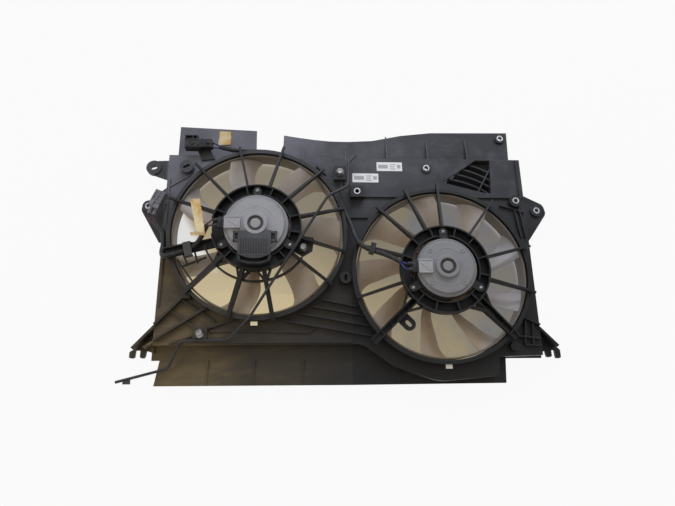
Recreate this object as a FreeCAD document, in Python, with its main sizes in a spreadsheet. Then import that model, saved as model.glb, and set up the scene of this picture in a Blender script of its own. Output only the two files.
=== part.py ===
import FreeCAD, Part
import math
import os
import re

import Sketcher
from FreeCAD import Placement, Rotation, Vector

# Twin radiator cooling fan: two moulded shroud halves, each with a motor stay, a motor and a banded fan.
# Frame: X to the right and Z up as seen from the motor side, which faces -Y. The radiator side is the plane Y = 0,
# so a "depth" below is the distance from that plane towards the motors, and lies along -Y.

# Driving sizes, in millimetres, degrees or counts.
SIZES = {
    # fan axes
    "axis_half_spacing": 161.5,
    "left_axis_height": 11.0,
    "right_axis_height": -63.5,
    # shroud mouldings
    "flange_depth": 3.0,
    "face_depth": 25.0,
    "wall": 2.5,
    "seam_place": 3.3,
    "side_place": 331.0,
    "collar_bore": 151.5,
    "collar_wall": 2.5,
    "collar_back": 8.0,
    "collar_front": 45.0,
    "lip_radius": 158.0,
    "rib_width": 2.5,
    "rib_front": 33.0,
    # motor stays
    "ring_back": 54.0,
    "ring_front": 70.0,
    "ring_outer": 77.6,
    "ring_inner": 57.5,
    "ring_wall": 2.5,
    "ring_floor": 2.0,
    "spoke_width": 4.0,
    "arm_width": 7.5,
    "spoke_tip_front": 51.0,
    "spoke_hub_front": 68.0,
    "ear_pitch_radius": 63.5,
    # motors
    "left_case_radius": 52.0,
    "right_case_radius": 48.5,
    "case_wall": 2.0,
    "case_back": 20.0,
    "case_front": 72.0,
    "cap_rim": 2.9,
    "cap_face_inset": 6.0,
    "cap_front": 80.0,
    "boss_front": 86.0,
    "boss_radius": 20.0,
    "recess_radius": 13.4,
    "dome_radius": 8.7,
    "shaft_radius": 4.0,
    "running_gap": 0.05,
    "bush_radius": 7.0,
    "magnet_wall": 5.5,
    "air_gap": 0.8,
    # fan wheels
    "band_inner": 146.5,
    "band_outer": 149.0,
    "band_back": 10.0,
    "band_front": 41.0,
    "hub_radius": 62.0,
    "hub_wall": 2.5,
    "hub_back": 6.0,
    "hub_front": 40.0,
    "blade_thick": 2.6,
    "blade_edge": 1.3,
    "blade_camber": 3.5,
    "blade_back": 12.0,
    "blade_front": 38.0,
    "left_blades": 7,
    "right_blades": 9,
    "left_blade_start": 107.4,
    "right_blade_start": 94.4,
    # fasteners
    "sleeve_radius": 6.5,
    "sleeve_bore": 3.25,
    "bolt_flange": 8.5,
    "bolt_flats": 10.0,
    "screw_radius": 4.0,
    # wiring and the bent rod
    "lead_radius": 4.3,
    "wire_radius": 1.3,
    "rod_radius": 2.4,
}

doc = FreeCAD.newDocument("radiator_fan")
sheet = doc.addObject("Spreadsheet::Sheet", "Sizes")
for row, (alias, value) in enumerate(SIZES.items(), start=1):
    sheet.set(f"A{row}", alias)
    sheet.set(f"B{row}", str(value))
    sheet.setAlias(f"B{row}", alias)
doc.recompute()

SIZE = dict(SIZES)
NODES = {}
FRONT_TURN = Rotation(Vector(1, 0, 0), 90)


def bound(text):
    """Write an expression with the sheet's aliases, or a plain number, as FreeCAD reads it."""
    return re.sub(r"[a-z_]{4,}", lambda word: "Sizes." + word.group(), str(text))


def bind(obj, **places):
    """Bind properties of an object; Base_x, Base_y and Base_z stand for its place."""
    for name, text in places.items():
        prop = name.replace("Base_", "Placement.Base.")
        obj.setExpression(prop, bound(text))


def node(name, obj):
    """Make an object a sub-part that is written to its own file."""
    obj.Label = name
    NODES[name] = obj
    return obj


# Solids seen from the front: x and z are in that view, and depth runs towards the motors.


def disc(radius, back, front, x=0, z=0):
    """A round solid along Y from one depth to another."""
    obj = doc.addObject("Part::Cylinder", "disc")
    obj.Placement = Placement(Vector(), FRONT_TURN)
    bind(obj, Radius=radius, Height=f"({front}) - ({back})", Base_x=x, Base_y=f"-({back})", Base_z=z)
    return obj


def block(x0, x1, z0, z1, back, front):
    """A box between two x, two z and two depths."""
    obj = doc.addObject("Part::Box", "block")
    bind(obj, Length=f"({x1}) - ({x0})", Width=f"({front}) - ({back})", Height=f"({z1}) - ({z0})",
         Base_x=x0, Base_y=f"-({front})", Base_z=z0)
    return obj


def rib(start, end, width, back, front):
    """A straight rib along the line from start to end, each an (x, z) point."""
    run = math.dist(start, end)
    angle = math.degrees(math.atan2(end[1] - start[1], end[0] - start[0]))
    obj = doc.addObject("Part::Box", "rib")
    obj.Placement = Placement(Vector(), Rotation(Vector(0, 1, 0), -angle))
    side = Vector(math.sin(math.radians(angle)), 0, -math.cos(math.radians(angle)))
    bind(obj, Length=run, Width=f"({front}) - ({back})", Height=width,
         Base_x=f"{start[0]} + ({width}) / 2 * {side.x:.6f}", Base_y=f"-({front})",
         Base_z=f"{start[1]} + ({width}) / 2 * {side.z:.6f}")
    return obj


def corner_arc(before, corner, after, radius):
    """The two tangent points and the middle of the arc that rounds a corner."""
    back_way = (before - corner).normalize()
    on_way = (after - corner).normalize()
    half = back_way.getAngle(on_way) / 2
    reach = radius / math.tan(half)
    middle_way = (back_way + on_way).normalize()
    centre = corner + middle_way * (radius / math.sin(half))
    return corner + back_way * reach, centre - middle_way * radius, corner + on_way * reach


def draw(sketch, outline):
    """Draw a closed outline of (x, z) or (x, z, corner radius) points in a sketch."""
    points = [Vector(p[0], p[1], 0) for p in outline]
    radii = [p[2] if len(p) > 2 else 0 for p in outline]
    count = len(points)
    joints = []
    for i, corner in enumerate(points):
        if radii[i]:
            joints.append(corner_arc(Vector(points[i - 1]), Vector(corner), Vector(points[(i + 1) % count]), radii[i]))
        else:
            joints.append((corner, None, corner))
    for i, (first, middle, last) in enumerate(joints):
        if middle is not None:
            sketch.addGeometry(Part.Arc(first, middle, last), False)
        start_next = joints[(i + 1) % count][0]
        if last.distanceToPoint(start_next) > 0.01:
            sketch.addGeometry(Part.LineSegment(last, start_next), False)


def prism(outline, back, front):
    """A flat plate or block with the given outline, drawn in the front view."""
    sketch = doc.addObject("Sketcher::SketchObject", "outline")
    sketch.Placement = Placement(Vector(), FRONT_TURN)
    bind(sketch, Base_y=f"-({back})")
    draw(sketch, outline)
    obj = doc.addObject("Part::Extrusion", "plate")
    obj.Base = sketch
    obj.DirMode = "Normal"
    obj.Solid = True
    bind(obj, LengthFwd=f"({front}) - ({back})")
    return obj


def gusset(x, z0, z1, width, back, front):
    """A thin wedge that stands on a flap: full depth at z0, none at z1."""
    obj = doc.addObject("Part::Wedge", "gusset")
    low, high = min(z0, z1), max(z0, z1)
    bind(obj, Xmin=0, Xmax=width, Ymin=0, Ymax=f"({front}) - ({back})", Zmin=0, Zmax=high - low,
         X2min=0, X2max=width, Z2min=0 if z0 < z1 else high - low - 4, Z2max=4 if z0 < z1 else high - low)
    obj.Placement = Placement(Vector(), Rotation(Vector(0, 0, 1), 180))
    bind(obj, Base_x=f"{x} + ({width}) / 2", Base_y=f"-({back})", Base_z=low)
    return obj


def fuse(parts):
    obj = doc.addObject("Part::MultiFuse", "joined")
    obj.Shapes = list(parts)
    obj.Refine = True
    return obj


def cut(base, tools):
    """Take the tools, one after another joined, out of a base."""
    tools = list(tools)
    obj = doc.addObject("Part::Cut", "cut")
    obj.Base = base
    obj.Tool = tools[0] if len(tools) == 1 else fuse(tools)
    obj.Refine = True
    return obj


def common(first, second):
    obj = doc.addObject("Part::Common", "common")
    obj.Base = first
    obj.Tool = second
    obj.Refine = True
    return obj


def ring(outer, inner, back, front, x=0, z=0):
    """A round wall along Y."""
    return cut(disc(outer, back, front, x, z), [disc(inner, f"({back}) - 1", f"({front}) + 1", x, z)])


def hexagon(flats, back, front, x=0, z=0):
    obj = doc.addObject("Part::Prism", "hexagon")
    obj.Polygon = 6
    obj.Placement = Placement(Vector(), FRONT_TURN)
    bind(obj, Circumradius=f"({flats}) / 2 / {math.cos(math.pi / 6):.6f}", Height=f"({front}) - ({back})",
         Base_x=x, Base_y=f"-({back})", Base_z=z)
    return obj


def slot_cut(x, z, length, width, angle, back, front):
    """A cutter for an oblong hole with round ends."""
    reach = (length - width) / 2
    step = (reach * math.cos(math.radians(angle)), reach * math.sin(math.radians(angle)))
    start, end = (x - step[0], z - step[1]), (x + step[0], z + step[1])
    return fuse([rib(start, end, width, back, front), disc(width / 2, back, front, *start),
                 disc(width / 2, back, front, *end)])


def polar(radius, angle):
    """An (x, z) point at a radius and an angle in degrees, counted from +X towards +Z."""
    return radius * math.cos(math.radians(angle)), radius * math.sin(math.radians(angle))


def wedge(start, end, reach):
    """A pie-slice prism between two angles, for keeping part of a ring."""
    middle = [polar(reach, start + (end - start) * share) for share in (0, 0.25, 0.5, 0.75, 1)]
    return prism([(0, 0)] + middle, 0, 120)


def place(obj, side):
    """Put a part that was made round its own fan axis on the left or the right axis."""
    sign = "-" if side == "left" else ""
    bind(obj, Base_x=f"{sign}axis_half_spacing", Base_z=f"{side}_axis_height")
    return obj


# Shroud mouldings


FAN_X = {"left": -SIZE["axis_half_spacing"], "right": SIZE["axis_half_spacing"]}
FAN_Z = {"left": SIZE["left_axis_height"], "right": SIZE["right_axis_height"]}
SEAM = SIZE["seam_place"]
SIDE = SIZE["side_place"]
FACE_TOP = 165.0
FACE_BOTTOM = -185.0
FLANGE_BOTTOM = -208.0
FLAP_BOTTOM = -250.0

# Outline of each shroud's raised tray, without its walls' thickness.
TRAY = {
    "left": [(-SIDE, FACE_BOTTOM), (SEAM, FACE_BOTTOM), (SEAM, FACE_TOP), (-SIDE, FACE_TOP + 2)],
    "right": [(SEAM, FACE_BOTTOM), (20, FACE_BOTTOM, 30), (70, -221, 60), (148, -248, 90), (252, -239, 6),
              (254, -207, 4), (SIDE, -205), (SIDE, FACE_TOP), (SEAM, FACE_TOP)],
}


def inset_tray(side):
    """The tray's inside, one wall smaller, and open towards the seam so that air passes between the halves."""
    t = SIZE["wall"]
    if side == "left":
        return [(-SIDE + t, FACE_BOTTOM + t), (SEAM + 5, FACE_BOTTOM + t), (SEAM + 5, FACE_TOP - t),
                (-SIDE + t, FACE_TOP + 2 - t)]
    return [(SEAM - 5, FACE_BOTTOM + t), (20 + t / 2, FACE_BOTTOM + t, 32), (71, -221 + t, 58),
            (148, -248 + t, 88), (252 - t, -239 + t, 4), (254 - t, -207 + t, 4), (SIDE - t, -205 + t),
            (SIDE - t, FACE_TOP - t), (SEAM - 5, FACE_TOP - t)]


# Ribs that start on the left moulding and run past the seam to the right one.
CROSSING_RIBS = [
    ((-48.6, -109.2), (11.8, -121.6)),
    ((-64.1, -121.4), (25.3, -137.4)),
    ((-86.3, -133.5), (41.9, -156.4)),
    ((-115.1, -145.5), (46.5, -173.5)),
]


def half_rib(start, end, side):
    """The part of a crossing rib that belongs to one moulding."""
    share = (SEAM - start[0]) / (end[0] - start[0])
    seam_point = (SEAM, start[1] + share * (end[1] - start[1]))
    return (start, seam_point) if side == "left" else (seam_point, end)


def tray(side):
    """Face and walls of one moulding, with its collar, lip and the ribs across the seam."""
    outer = prism(TRAY[side], 0, "face_depth")
    inner = prism(inset_tray(side), -1, "face_depth - wall")
    x, z = FAN_X[side], FAN_Z[side]
    shell = cut(outer, [inner, disc("collar_bore + 1", -1, "face_depth + 1", x, z)])
    collar = ring("collar_bore + collar_wall", "collar_bore", "collar_back", "collar_front", x, z)
    lip = ring("lip_radius", "collar_bore", "collar_front - 3", "collar_front", x, z)
    pieces = [shell, collar, lip]
    for start, end in CROSSING_RIBS:
        pieces.append(rib(*half_rib(start, end, side), "rib_width", "face_depth - 1", "rib_front"))
    return pieces


def drain_slot(side):
    """A short slot through the face, just below the collar."""
    x, z = FAN_X[side] + (-3 if side == "left" else 5), FAN_Z[side]
    return block(x - 6, x + 6, z - 163.5, z - 156.5, "face_depth - wall - 1", "face_depth + 1")


def flap_line(x, top):
    """A low rib on the lower flap that runs down to its edge."""
    return block(x - 1, x + 1, FLAP_BOTTOM + 0.6, top, 2, 4.4)


def left_panel():
    pieces = tray("left")
    flange = [
        block(-337, -SIDE + 2, FLANGE_BOTTOM, FACE_TOP + 6, 0, "flange_depth"),
        block(-SIDE, SEAM, FACE_TOP - 2, FACE_TOP + 6, 0, "flange_depth"),
        block(-337, SEAM, FLANGE_BOTTOM, FACE_BOTTOM + 2, 0, "flange_depth"),
        prism([(-330, FLAP_BOTTOM), (SEAM, FLAP_BOTTOM - 1), (SEAM, FLANGE_BOTTOM + 1), (-323, FLANGE_BOTTOM + 1)],
              0, "flange_depth"),
        prism([(-320.5, FACE_TOP), (-172.5, FACE_TOP), (-173.5, 232.5), (-320.2, 238.8)], 0.5, "flange_depth"),
        prism([(-122.5, FACE_TOP), (SEAM, FACE_TOP), (SEAM, 211.3), (-31, 211.8), (-60.4, 214.6), (-89.6, 218.5),
               (-120.8, 223.5)], 0.5, "flange_depth"),
    ]
    for x, top, front in ((-219.5, 211, 13), (-83.6, 208, 9), (-2.0, 204, 9)):
        flange.append(gusset(x, FACE_TOP + 4, top, 2, 2.5, front))
    for x in (-242.3, -163.6, -80.8):
        flange.append(gusset(x, FLANGE_BOTTOM - 1, FLAP_BOTTOM + 3, 2, 2.5, 7))
        flange.append(flap_line(x, FLANGE_BOTTOM))
    ears = [
        prism([(-333, 165), (-333, 124), (-362.5, 134.6), (-362.5, 163.4)], 2, 6),
        disc(14, 0, 9, -362.5, 149.2),
        prism([(-333, 112), (-352, 95), (-382, 70, 14), (-342, 2), (-333, 2)], 2, 6),
        disc(11, 0, 11, -364.6, 70.3),
        rib((-330, 100), (-289, 126), 3, "face_depth - 1", 27),
    ]
    fork = [
        prism([(-333, -154), (-366, -189), (-373, -194), (-373, -204, 3), (-364, -204, 3), (-363, -191), (-355, -191),
               (-355, -204, 3), (-347, -204, 3), (-345, -192), (-333, -196)], 2, 8),
        rib((-328, -150.3), (-364, -190), 4.5, 3, 28),
        rib((-329, -177.6), (-346, -188.5), 4, 3, 26),
    ]
    ribs = [
        ((-278.0, -96.6), (-329.0, -151.4), 4.5, 36),
        ((-244.3, -122.7), (-329.0, -177.6), 4.0, 35),
        ((-261.4, -168.6), (-302.9, -183.0), 2.5, 30),
        ((-287.3, -108.8), (-229.5, -146.8), 2.5, 31),
        ((-304.2, -127.7), (-262.2, -156.8), 2.5, 31),
        ((-237.2, -161.8), (-69.1, -164.3), 3.0, 28),
        ((-69.1, -164.3), (-59.0, -155.8), 3.0, 28),
        ((-244.0, -158.5), (-196.0, -143.0), 3.0, 31),
        ((-304.0, -181.0), (SEAM, -181.0), 3.0, 28),
        ((-326.0, 118.0), (-326.0, -120.0), 2.5, 28),
        ((-41.0, 128.0), (-58.0, 145.0), 2.5, 32),
        ((-12.0, 82.0), (-12.0, 114.0), 2.5, 30),
    ]
    stiff = [rib(a, b, width, "face_depth - 1", front) for a, b, width, front in ribs]
    bosses = [
        disc(12.5, "face_depth - 1", 38, -295, 138.2),
        disc(10.3, "face_depth - 1", 38, -7.2, -71.6),
        block(-25.5, -3.5, 115.5, 143.5, "face_depth - 1", 36),
        block(-264, -241, -175.4, -156, "face_depth - 1", 34),
        block(-288, -272, -108, -92, "face_depth - 1", 38),
    ]
    holes = [
        drain_slot("left"),
        slot_cut(-295, 138.2, 13, 5, 25, 30, 40),
        slot_cut(-7.2, -71.6, 12, 5.5, 85, 30, 40),
        slot_cut(-362.5, 149.2, 13, 8, 15, -1, 12),
        disc("sleeve_radius", -1, 12, -364.6, 70.3),
        disc(3, 20, 40, -14.6, 129.5),
        disc(3, 20, 40, -253, -166.8),
    ]
    return node("left_shroud", cut(fuse(pieces + flange + ears + fork + stiff + bosses), holes))


LOUVRE = [(178, 115), (247, 163), (272, 163), (268, 92), (244, 97), (205, 107)]


def right_panel():
    x, z = FAN_X["right"], FAN_Z["right"]
    pieces = tray("right")
    flange = [
        block(SIDE - 2, 337, FLANGE_BOTTOM, FACE_TOP + 4, 0, "flange_depth"),
        block(SEAM, SIDE, FACE_TOP - 2, FACE_TOP + 4, 0, "flange_depth"),
        block(SEAM, 60, FLANGE_BOTTOM, FACE_BOTTOM + 2, 0, "flange_depth"),
        block(250, 337, FLANGE_BOTTOM, -203, 0, "flange_depth"),
        prism([(SEAM, FLAP_BOTTOM - 1), (270, FLAP_BOTTOM), (273, FLANGE_BOTTOM + 1), (253, FLANGE_BOTTOM + 1),
               (251, -237), (148, -246, 90), (71, -219, 58), (54, FLANGE_BOTTOM + 3), (SEAM, FLANGE_BOTTOM + 3)],
              0, "flange_depth"),
        prism([(SEAM, FACE_TOP), (319.4, FACE_TOP), (321.6, 235.7), (167.8, 233.4), (107.5, 226.2), (51.5, 214.2),
               (SEAM, 211.3)], 0.5, "flange_depth"),
    ]
    for rib_x in (78.4, 157.5, 235.3):
        flange.append(gusset(rib_x, FACE_TOP + 2, 224, 2.5, 2.5, 12))
    for rib_x in (85.3, 160.0):
        flange.append(gusset(rib_x, FLAP_BOTTOM + 22, FLAP_BOTTOM + 3, 2, 2.5, 6))
        flange.append(flap_line(rib_x, FLAP_BOTTOM + 22))
    raised = cut(prism([(SEAM, 84), (SIDE - 2, 84), (SIDE - 2, FACE_TOP - 3), (SEAM, FACE_TOP - 3)],
                       "face_depth - 1", 29), [disc("lip_radius + 2", 0, 60, x, z), prism(LOUVRE, 0, 60)])
    ear = [
        prism([(334, 100), (340, 98), (375, 80, 14), (379, 62, 14), (340, 8), (334, 8)], 2, 6),
        disc(11.5, 0, 10, 359.8, 67),
    ]
    fork = [
        prism([(333, -156), (364, -189), (370, -195), (370, -209, 3), (361, -209, 3), (360, -195), (354, -195),
               (354, -207, 3), (345, -207, 3), (343, -196), (333, -200)], 2, 8),
        rib((328, -157), (359, -190), 4, 3, 28),
    ]
    ribs = [
        ((299.0, -140.0), (329.0, -154.0), 3.0, 34),
        ((282.0, -172.0), (329.0, -178.0), 3.0, 32),
        ((306.0, -138.0), (300.0, -186.0), 3.0, 31),
        ((318.0, -146.0), (314.0, -190.0), 3.0, 31),
        ((300.0, -188.0), (329.0, -190.0), 2.5, 30),
        ((309.0, 62.0), (316.0, 6.0), 2.5, 30),
        ((318.0, 66.0), (325.0, 6.0), 2.5, 30),
        ((283.0, 70.0), (327.0, 56.0), 3.0, 30),
        ((321.0, 160.0), (321.0, 90.0), 2.5, 32),
        ((8.0, 44.0), (36.0, 44.0), 2.5, 29),
        ((SEAM, 44.0), (8.0, 44.0), 2.5, 29),
    ]
    stiff = [rib(a, b, width, "face_depth - 1", front) for a, b, width, front in ribs]
    bosses = [
        disc(11.5, "face_depth - 1", 36, 311, 76),
        disc(7.5, "face_depth - 1", 35, 280, -191),
        disc(9.5, 0, 7, 306, 221),
        disc(9.5, "face_depth - 1", 32, 148.4, 142.6),
        block(SEAM + 0.5, 28.3, 79, 101, "face_depth - 1", 42),
    ]
    holes = [
        drain_slot("right"),
        prism(LOUVRE, "face_depth - wall - 1", 60),
        disc("sleeve_radius", -1, 12, 359.8, 67),
        disc("sleeve_radius", 10, 40, 311, 76),
        disc("sleeve_radius", -1, 12, 306, 221),
        disc("sleeve_radius", 10, 40, 148.4, 142.6),
        disc("sleeve_radius", 27, 45, 15.8, 89.8),
    ]
    body = cut(fuse(pieces + flange + [raised] + ear + fork + stiff + bosses), holes)
    louvre = fuse([louvre_recess()] + [louvre_rib(step) for step in range(5)] + [louvre_brace()])
    return node("right_shroud", cut(fuse([body, louvre]), [disc("collar_bore", 0, 60, x, z)]))


def grown(outline, amount):
    """An outline pushed out from its middle by about one amount."""
    middle_x = sum(p[0] for p in outline) / len(outline)
    middle_z = sum(p[1] for p in outline) / len(outline)
    return [(px + math.copysign(amount, px - middle_x), pz + math.copysign(amount, pz - middle_z))
            for px, pz in outline]


def louvre_recess():
    """The sunken pocket that holds the louvre ribs."""
    outer = prism(grown(LOUVRE, 2), 8, "face_depth - 0.5")
    return cut(outer, [prism(LOUVRE, 10, 60)])


def louvre_rib(step):
    """One of the ribs that run round the right fan across the pocket."""
    radius = 177 + 13 * step
    x, z = FAN_X["right"], FAN_Z["right"]
    arc = ring(radius + 1.2, radius - 1.2, 9, 24, x, z)
    return common(arc, prism(grown(LOUVRE, 1), 8, 26))


def louvre_brace():
    return common(rib((241, 90), (274, 149), 2.4, 9, 27), prism(grown(LOUVRE, 1), 8, 28))


# Motor stays: a pocketed hub ring on spokes, made round the fan axis


LEFT_SPOKES = [(103, 167), (75, 170), (45.5, 168), (15.5, 158), (-14, 158), (-37, 165), (159, 169), (132, 173)]
LEFT_ARMS = [(-79, 163), (-106, 163), (-137, 164)]
RIGHT_SPOKES = [(90, 168), (111.5, 167), (133, 165), (161.5, 158), (-163, 158), (-13, 165), (16.5, 168), (53, 169)]
RIGHT_ARMS = [(-136, 174), (-44, 165)]
LEFT_WEBS = [105, 69, 45, 17, -8, 133, 156, -133, -48]
RIGHT_WEBS = [108, 73, 46, 17, -9, 136, 162, -132, -107.5, -75, -47]
EAR_ANGLES = (90, 210, 330)


def spoke(angle, tip, width):
    """A tapered spoke from the hub ring to just past the collar's lip."""
    body = doc.addObject("Sketcher::SketchObject", "spoke_side")
    draw(body, [(74, -54), (150, -45), (tip, -45), (tip, -49), (tip - 4, -51), (77, -68), (74, -68)])
    body.Placement = Placement()
    obj = doc.addObject("Part::Extrusion", "spoke")
    obj.Base = body
    obj.DirMode = "Normal"
    obj.Solid = True
    obj.Symmetric = True
    bind(obj, LengthFwd=width)
    obj.Placement = Placement(Vector(), Rotation(Vector(0, 1, 0), -angle))
    return obj


def web(angle):
    """A radial wall between the two walls of the hub ring."""
    return rib(polar(58.5, angle), polar(76.5, angle), "ring_wall", "ring_back", "ring_front - 1")


def hub_ring():
    outer = ring("ring_outer", "ring_outer - ring_wall", "ring_back", "ring_front")
    inner = ring("ring_inner + ring_wall", "ring_inner", "ring_back", "ring_front")
    floor = ring("ring_outer - 0.5", "ring_inner + 0.5", "ring_back", "ring_back + ring_floor")
    return [outer, inner, floor]


def ear_seats():
    """Posts on the ring's floor under the motor bracket's ears."""
    seats = []
    for angle in EAR_ANGLES:
        x, z = polar(SIZE["ear_pitch_radius"] + 3, angle)
        seats.append(disc(7.2, "ring_back", 66, x, z))
    return seats


def ear_room():
    """What is cut away for the bracket's ears, the screws and the plug."""
    cuts = []
    for angle in EAR_ANGLES:
        cuts.append(rib(polar(50, angle), polar(72.5, angle), 21, 66, 72))
        x, z = polar(SIZE["ear_pitch_radius"] + 3, angle)
        cuts.append(disc(2, 50, 70, x, z))
    cuts.append(block(-82, -50, -14, 14, "ring_back + ring_floor", 72))
    return cuts


def arm(angle, tip):
    """A broad arm that opens out in a fork where it meets the hub ring."""
    pieces = [spoke(angle, tip, "arm_width")]
    for turn in (-9, 9):
        pieces.append(rib(polar(75, angle + turn), polar(98, angle), 3, 47.6, 62))
    return pieces


def left_stay():
    pieces = hub_ring() + ear_seats()
    pieces += [web(angle) for angle in LEFT_WEBS]
    pieces += [spoke(angle, tip, "spoke_width") for angle, tip in LEFT_SPOKES]
    for angle, tip in LEFT_ARMS:
        pieces += arm(angle, tip)
    pieces.append(common(ring("ring_outer - 1", "ring_inner + 1", "ring_back", 64), wedge(-122, -58, 130)))
    pieces.append(common(ring(95, 92, 48, 57), wedge(-161, -33, 180)))
    trough_end = polar(160, -164.5)
    trough_start = polar(76, -162)
    pieces.append(rib(trough_start, trough_end, 17, 45, 48))
    across = polar(7, -164.5 + 90)
    trough_dip = polar(113, -163.5)
    for sign, start, end, front in ((-1, trough_dip, trough_end, 57), (-1, trough_start, trough_dip, 53),
                                    (1, trough_start, trough_end, 49)):
        shift = (across[0] * sign, across[1] * sign)
        pieces.append(rib((start[0] + shift[0], start[1] + shift[1]), (end[0] + shift[0], end[1] + shift[1]),
                          2.5, 45, front))
    lattice = [((-134, -54), (-106, -92)), ((-124, -66), (-85, -49.5)), ((-107, -36), (-99, -60)),
               ((-125, -44), (-116, -63))]
    pieces += [rib(a, b, 3, 46, 49.6) for a, b in lattice]
    plate = prism([(60, -10), (99, -16, 3), (96, -40, 3), (80, -50), (62, -40)], 52, 56)
    pieces.append(cut(plate, [disc(74, 40, 60)]))
    pieces.append(disc(9, 51, 58, 80, -34.6))
    holes = ear_room() + [disc(3, 44, 60, 80, -34.6)]
    return node("left_motor_stay", place(cut(fuse(pieces), holes), "left"))


def right_stay():
    pieces = hub_ring() + ear_seats()
    pieces += [web(angle) for angle in RIGHT_WEBS]
    pieces += [spoke(angle, tip, "spoke_width") for angle, tip in RIGHT_SPOKES]
    pieces += [double_arm(angle, tip) for angle, tip in RIGHT_ARMS]
    pieces += bracket_tab()
    return node("right_motor_stay", place(cut(fuse(pieces), ear_room() + [tab_hole()]), "right"))


def double_arm(angle, tip):
    """Two parallel walls on a floor, spreading into gussets at the hub ring."""
    across = polar(5.2, angle + 90)
    floor = rib(polar(74, angle), polar(tip, angle), 13, 45, 47.5)
    pieces = [floor]
    for sign in (-1, 1):
        shift = (across[0] * sign, across[1] * sign)
        side = spoke(angle, tip, 2.6)
        bind(side, Base_x=shift[0], Base_z=shift[1])
        pieces.append(side)
        inner = polar(76, angle + 14 * sign)
        outer_x, outer_z = polar(97, angle)
        pieces.append(rib(inner, (outer_x + shift[0], outer_z + shift[1]), 3, 50, 64))
    for radius in (92, 112, 132, 152):
        middle_x, middle_z = polar(radius, angle)
        pieces.append(rib((middle_x - across[0], middle_z - across[1]), (middle_x + across[0], middle_z + across[1]),
                          2.5, 46, 52))
    return fuse(pieces)


TAB_ROOT = polar(110, -136)
TAB_WAY = polar(1, -46)


def bracket_tab():
    """The rounded tab that stands off the lower left arm of the right stay."""
    end = (TAB_ROOT[0] + 22 * TAB_WAY[0], TAB_ROOT[1] + 22 * TAB_WAY[1])
    return [rib(TAB_ROOT, end, 21, 47, 51), disc(10.5, 47, 51, *end)]


def tab_hole():
    x = TAB_ROOT[0] + 20 * TAB_WAY[0]
    z = TAB_ROOT[1] + 20 * TAB_WAY[1]
    return slot_cut(x, z, 13, 7, -46, 40, 60)


# Motors: parts that stay still, made round the fan axis


def motor_case(side):
    """A drawn steel cup, open towards the cap, with a seat for the fan-side bush."""
    radius = f"{side}_case_radius"
    cup = cut(disc(radius, "case_back", "case_front"),
              [disc(f"{radius} - case_wall", "case_back + case_wall", "case_front + 1")])
    neck = disc("bush_radius + case_wall", "case_back - 3", "case_back + 6")
    bores = [disc("bush_radius", "case_back - 4", "case_back + 8")]
    return node(f"{side}_motor_case", place(cut(fuse([cup, neck]), bores), side))


def motor_cap(side):
    """The grey end cap: a rim, a raised face and a boss with a dome in its recess."""
    radius = f"{side}_case_radius"
    face = f"{radius} + cap_rim - cap_face_inset"
    pieces = [disc(f"{radius} + cap_rim", "case_front", "case_front + 4"),
              disc(face, "case_front + 3", "cap_front"),
              cut(disc("boss_radius", "cap_front - 1", "boss_front"),
                  [disc("recess_radius", "boss_front - 5.5", "boss_front + 1")]),
              disc("dome_radius", "cap_front - 1", "boss_front - 1")]
    shell = fuse(pieces)
    hollow = [disc(f"{radius} - case_wall", "case_front - 1", "case_front + 2"),
              disc(f"{face} - 3", "case_front + 1", "cap_front - 2.5"),
              disc("bush_radius", "case_front", "boss_front - 3")]
    if side == "right":
        for angle in (45, 135, 225, 315):
            x, z = polar(39.5, angle)
            hollow.append(disc(2.6, "cap_front - 1", "cap_front + 1", x, z))
    return node(f"{side}_motor_cap", place(cut(shell, hollow), side))


def motor_bracket(side):
    """A pressed plate round the case with three ears for the screws."""
    radius = f"{side}_case_radius"
    outer = 55.5 if side == "left" else 54.0
    pieces = [disc(outer, 66, 68)]
    for angle in EAR_ANGLES:
        x, z = polar(SIZE["ear_pitch_radius"] + 3, angle)
        pieces.append(rib(polar(40, angle), (x, z), 14, 66, 68))
        pieces.append(disc(7, 66, 68, x, z))
    holes = [disc(radius, 60, 72)]
    for angle in EAR_ANGLES:
        x, z = polar(SIZE["ear_pitch_radius"] + 3, angle)
        holes.append(disc(2.2, 60, 72, x, z))
    return node(f"{side}_motor_bracket", place(cut(fuse(pieces), holes), side))


def motor_screws(side):
    """Three pan-head screws through the bracket's ears into the stay."""
    screws = []
    for angle in EAR_ANGLES:
        x, z = polar(SIZE["ear_pitch_radius"] + 3, angle)
        screws.append(fuse([disc("screw_radius", 68, 70.5, x, z), disc(2, 57, 69, x, z)]))
    obj = doc.addObject("Part::Compound", "screws")
    obj.Links = screws
    return node(f"{side}_motor_screws", place(obj, side))


def magnets(side):
    """Two curved magnets inside the case."""
    radius = f"{side}_case_radius - case_wall"
    shell = ring(radius, f"{radius} - magnet_wall", 30, 62)
    obj = doc.addObject("Part::Compound", "magnets")
    obj.Links = [common(shell, wedge(-60, 60, 90)), common(ring(radius, f"{radius} - magnet_wall", 30, 62),
                                                            wedge(120, 240, 90))]
    return node(f"{side}_magnets", place(obj, side))


def bush(side, which, back, front):
    obj = ring("bush_radius", "shaft_radius + running_gap", back, front)
    return node(f"{side}_{which}_bush", place(obj, side))


def brush_holder(side):
    """An insulating plate with two boxes that hold the brushes against the commutator."""
    plate = ring(f"{side}_case_radius - case_wall - 0.2", 16, 69, 71)
    pieces = [plate, block(18, 34, -5, 5, 65, 70), block(-34, -18, -5, 5, 65, 70)]
    return node(f"{side}_brush_holder", place(fuse(pieces), side))


def brushes(side):
    """Two carbon blocks that reach from the holder to the commutator."""
    obj = doc.addObject("Part::Compound", "brushes")
    obj.Links = [block(12.3, 18, -3, 3, 65, 69), block(-18, -12.3, -3, 3, 65, 69)]
    return node(f"{side}_brushes", place(obj, side))


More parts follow.
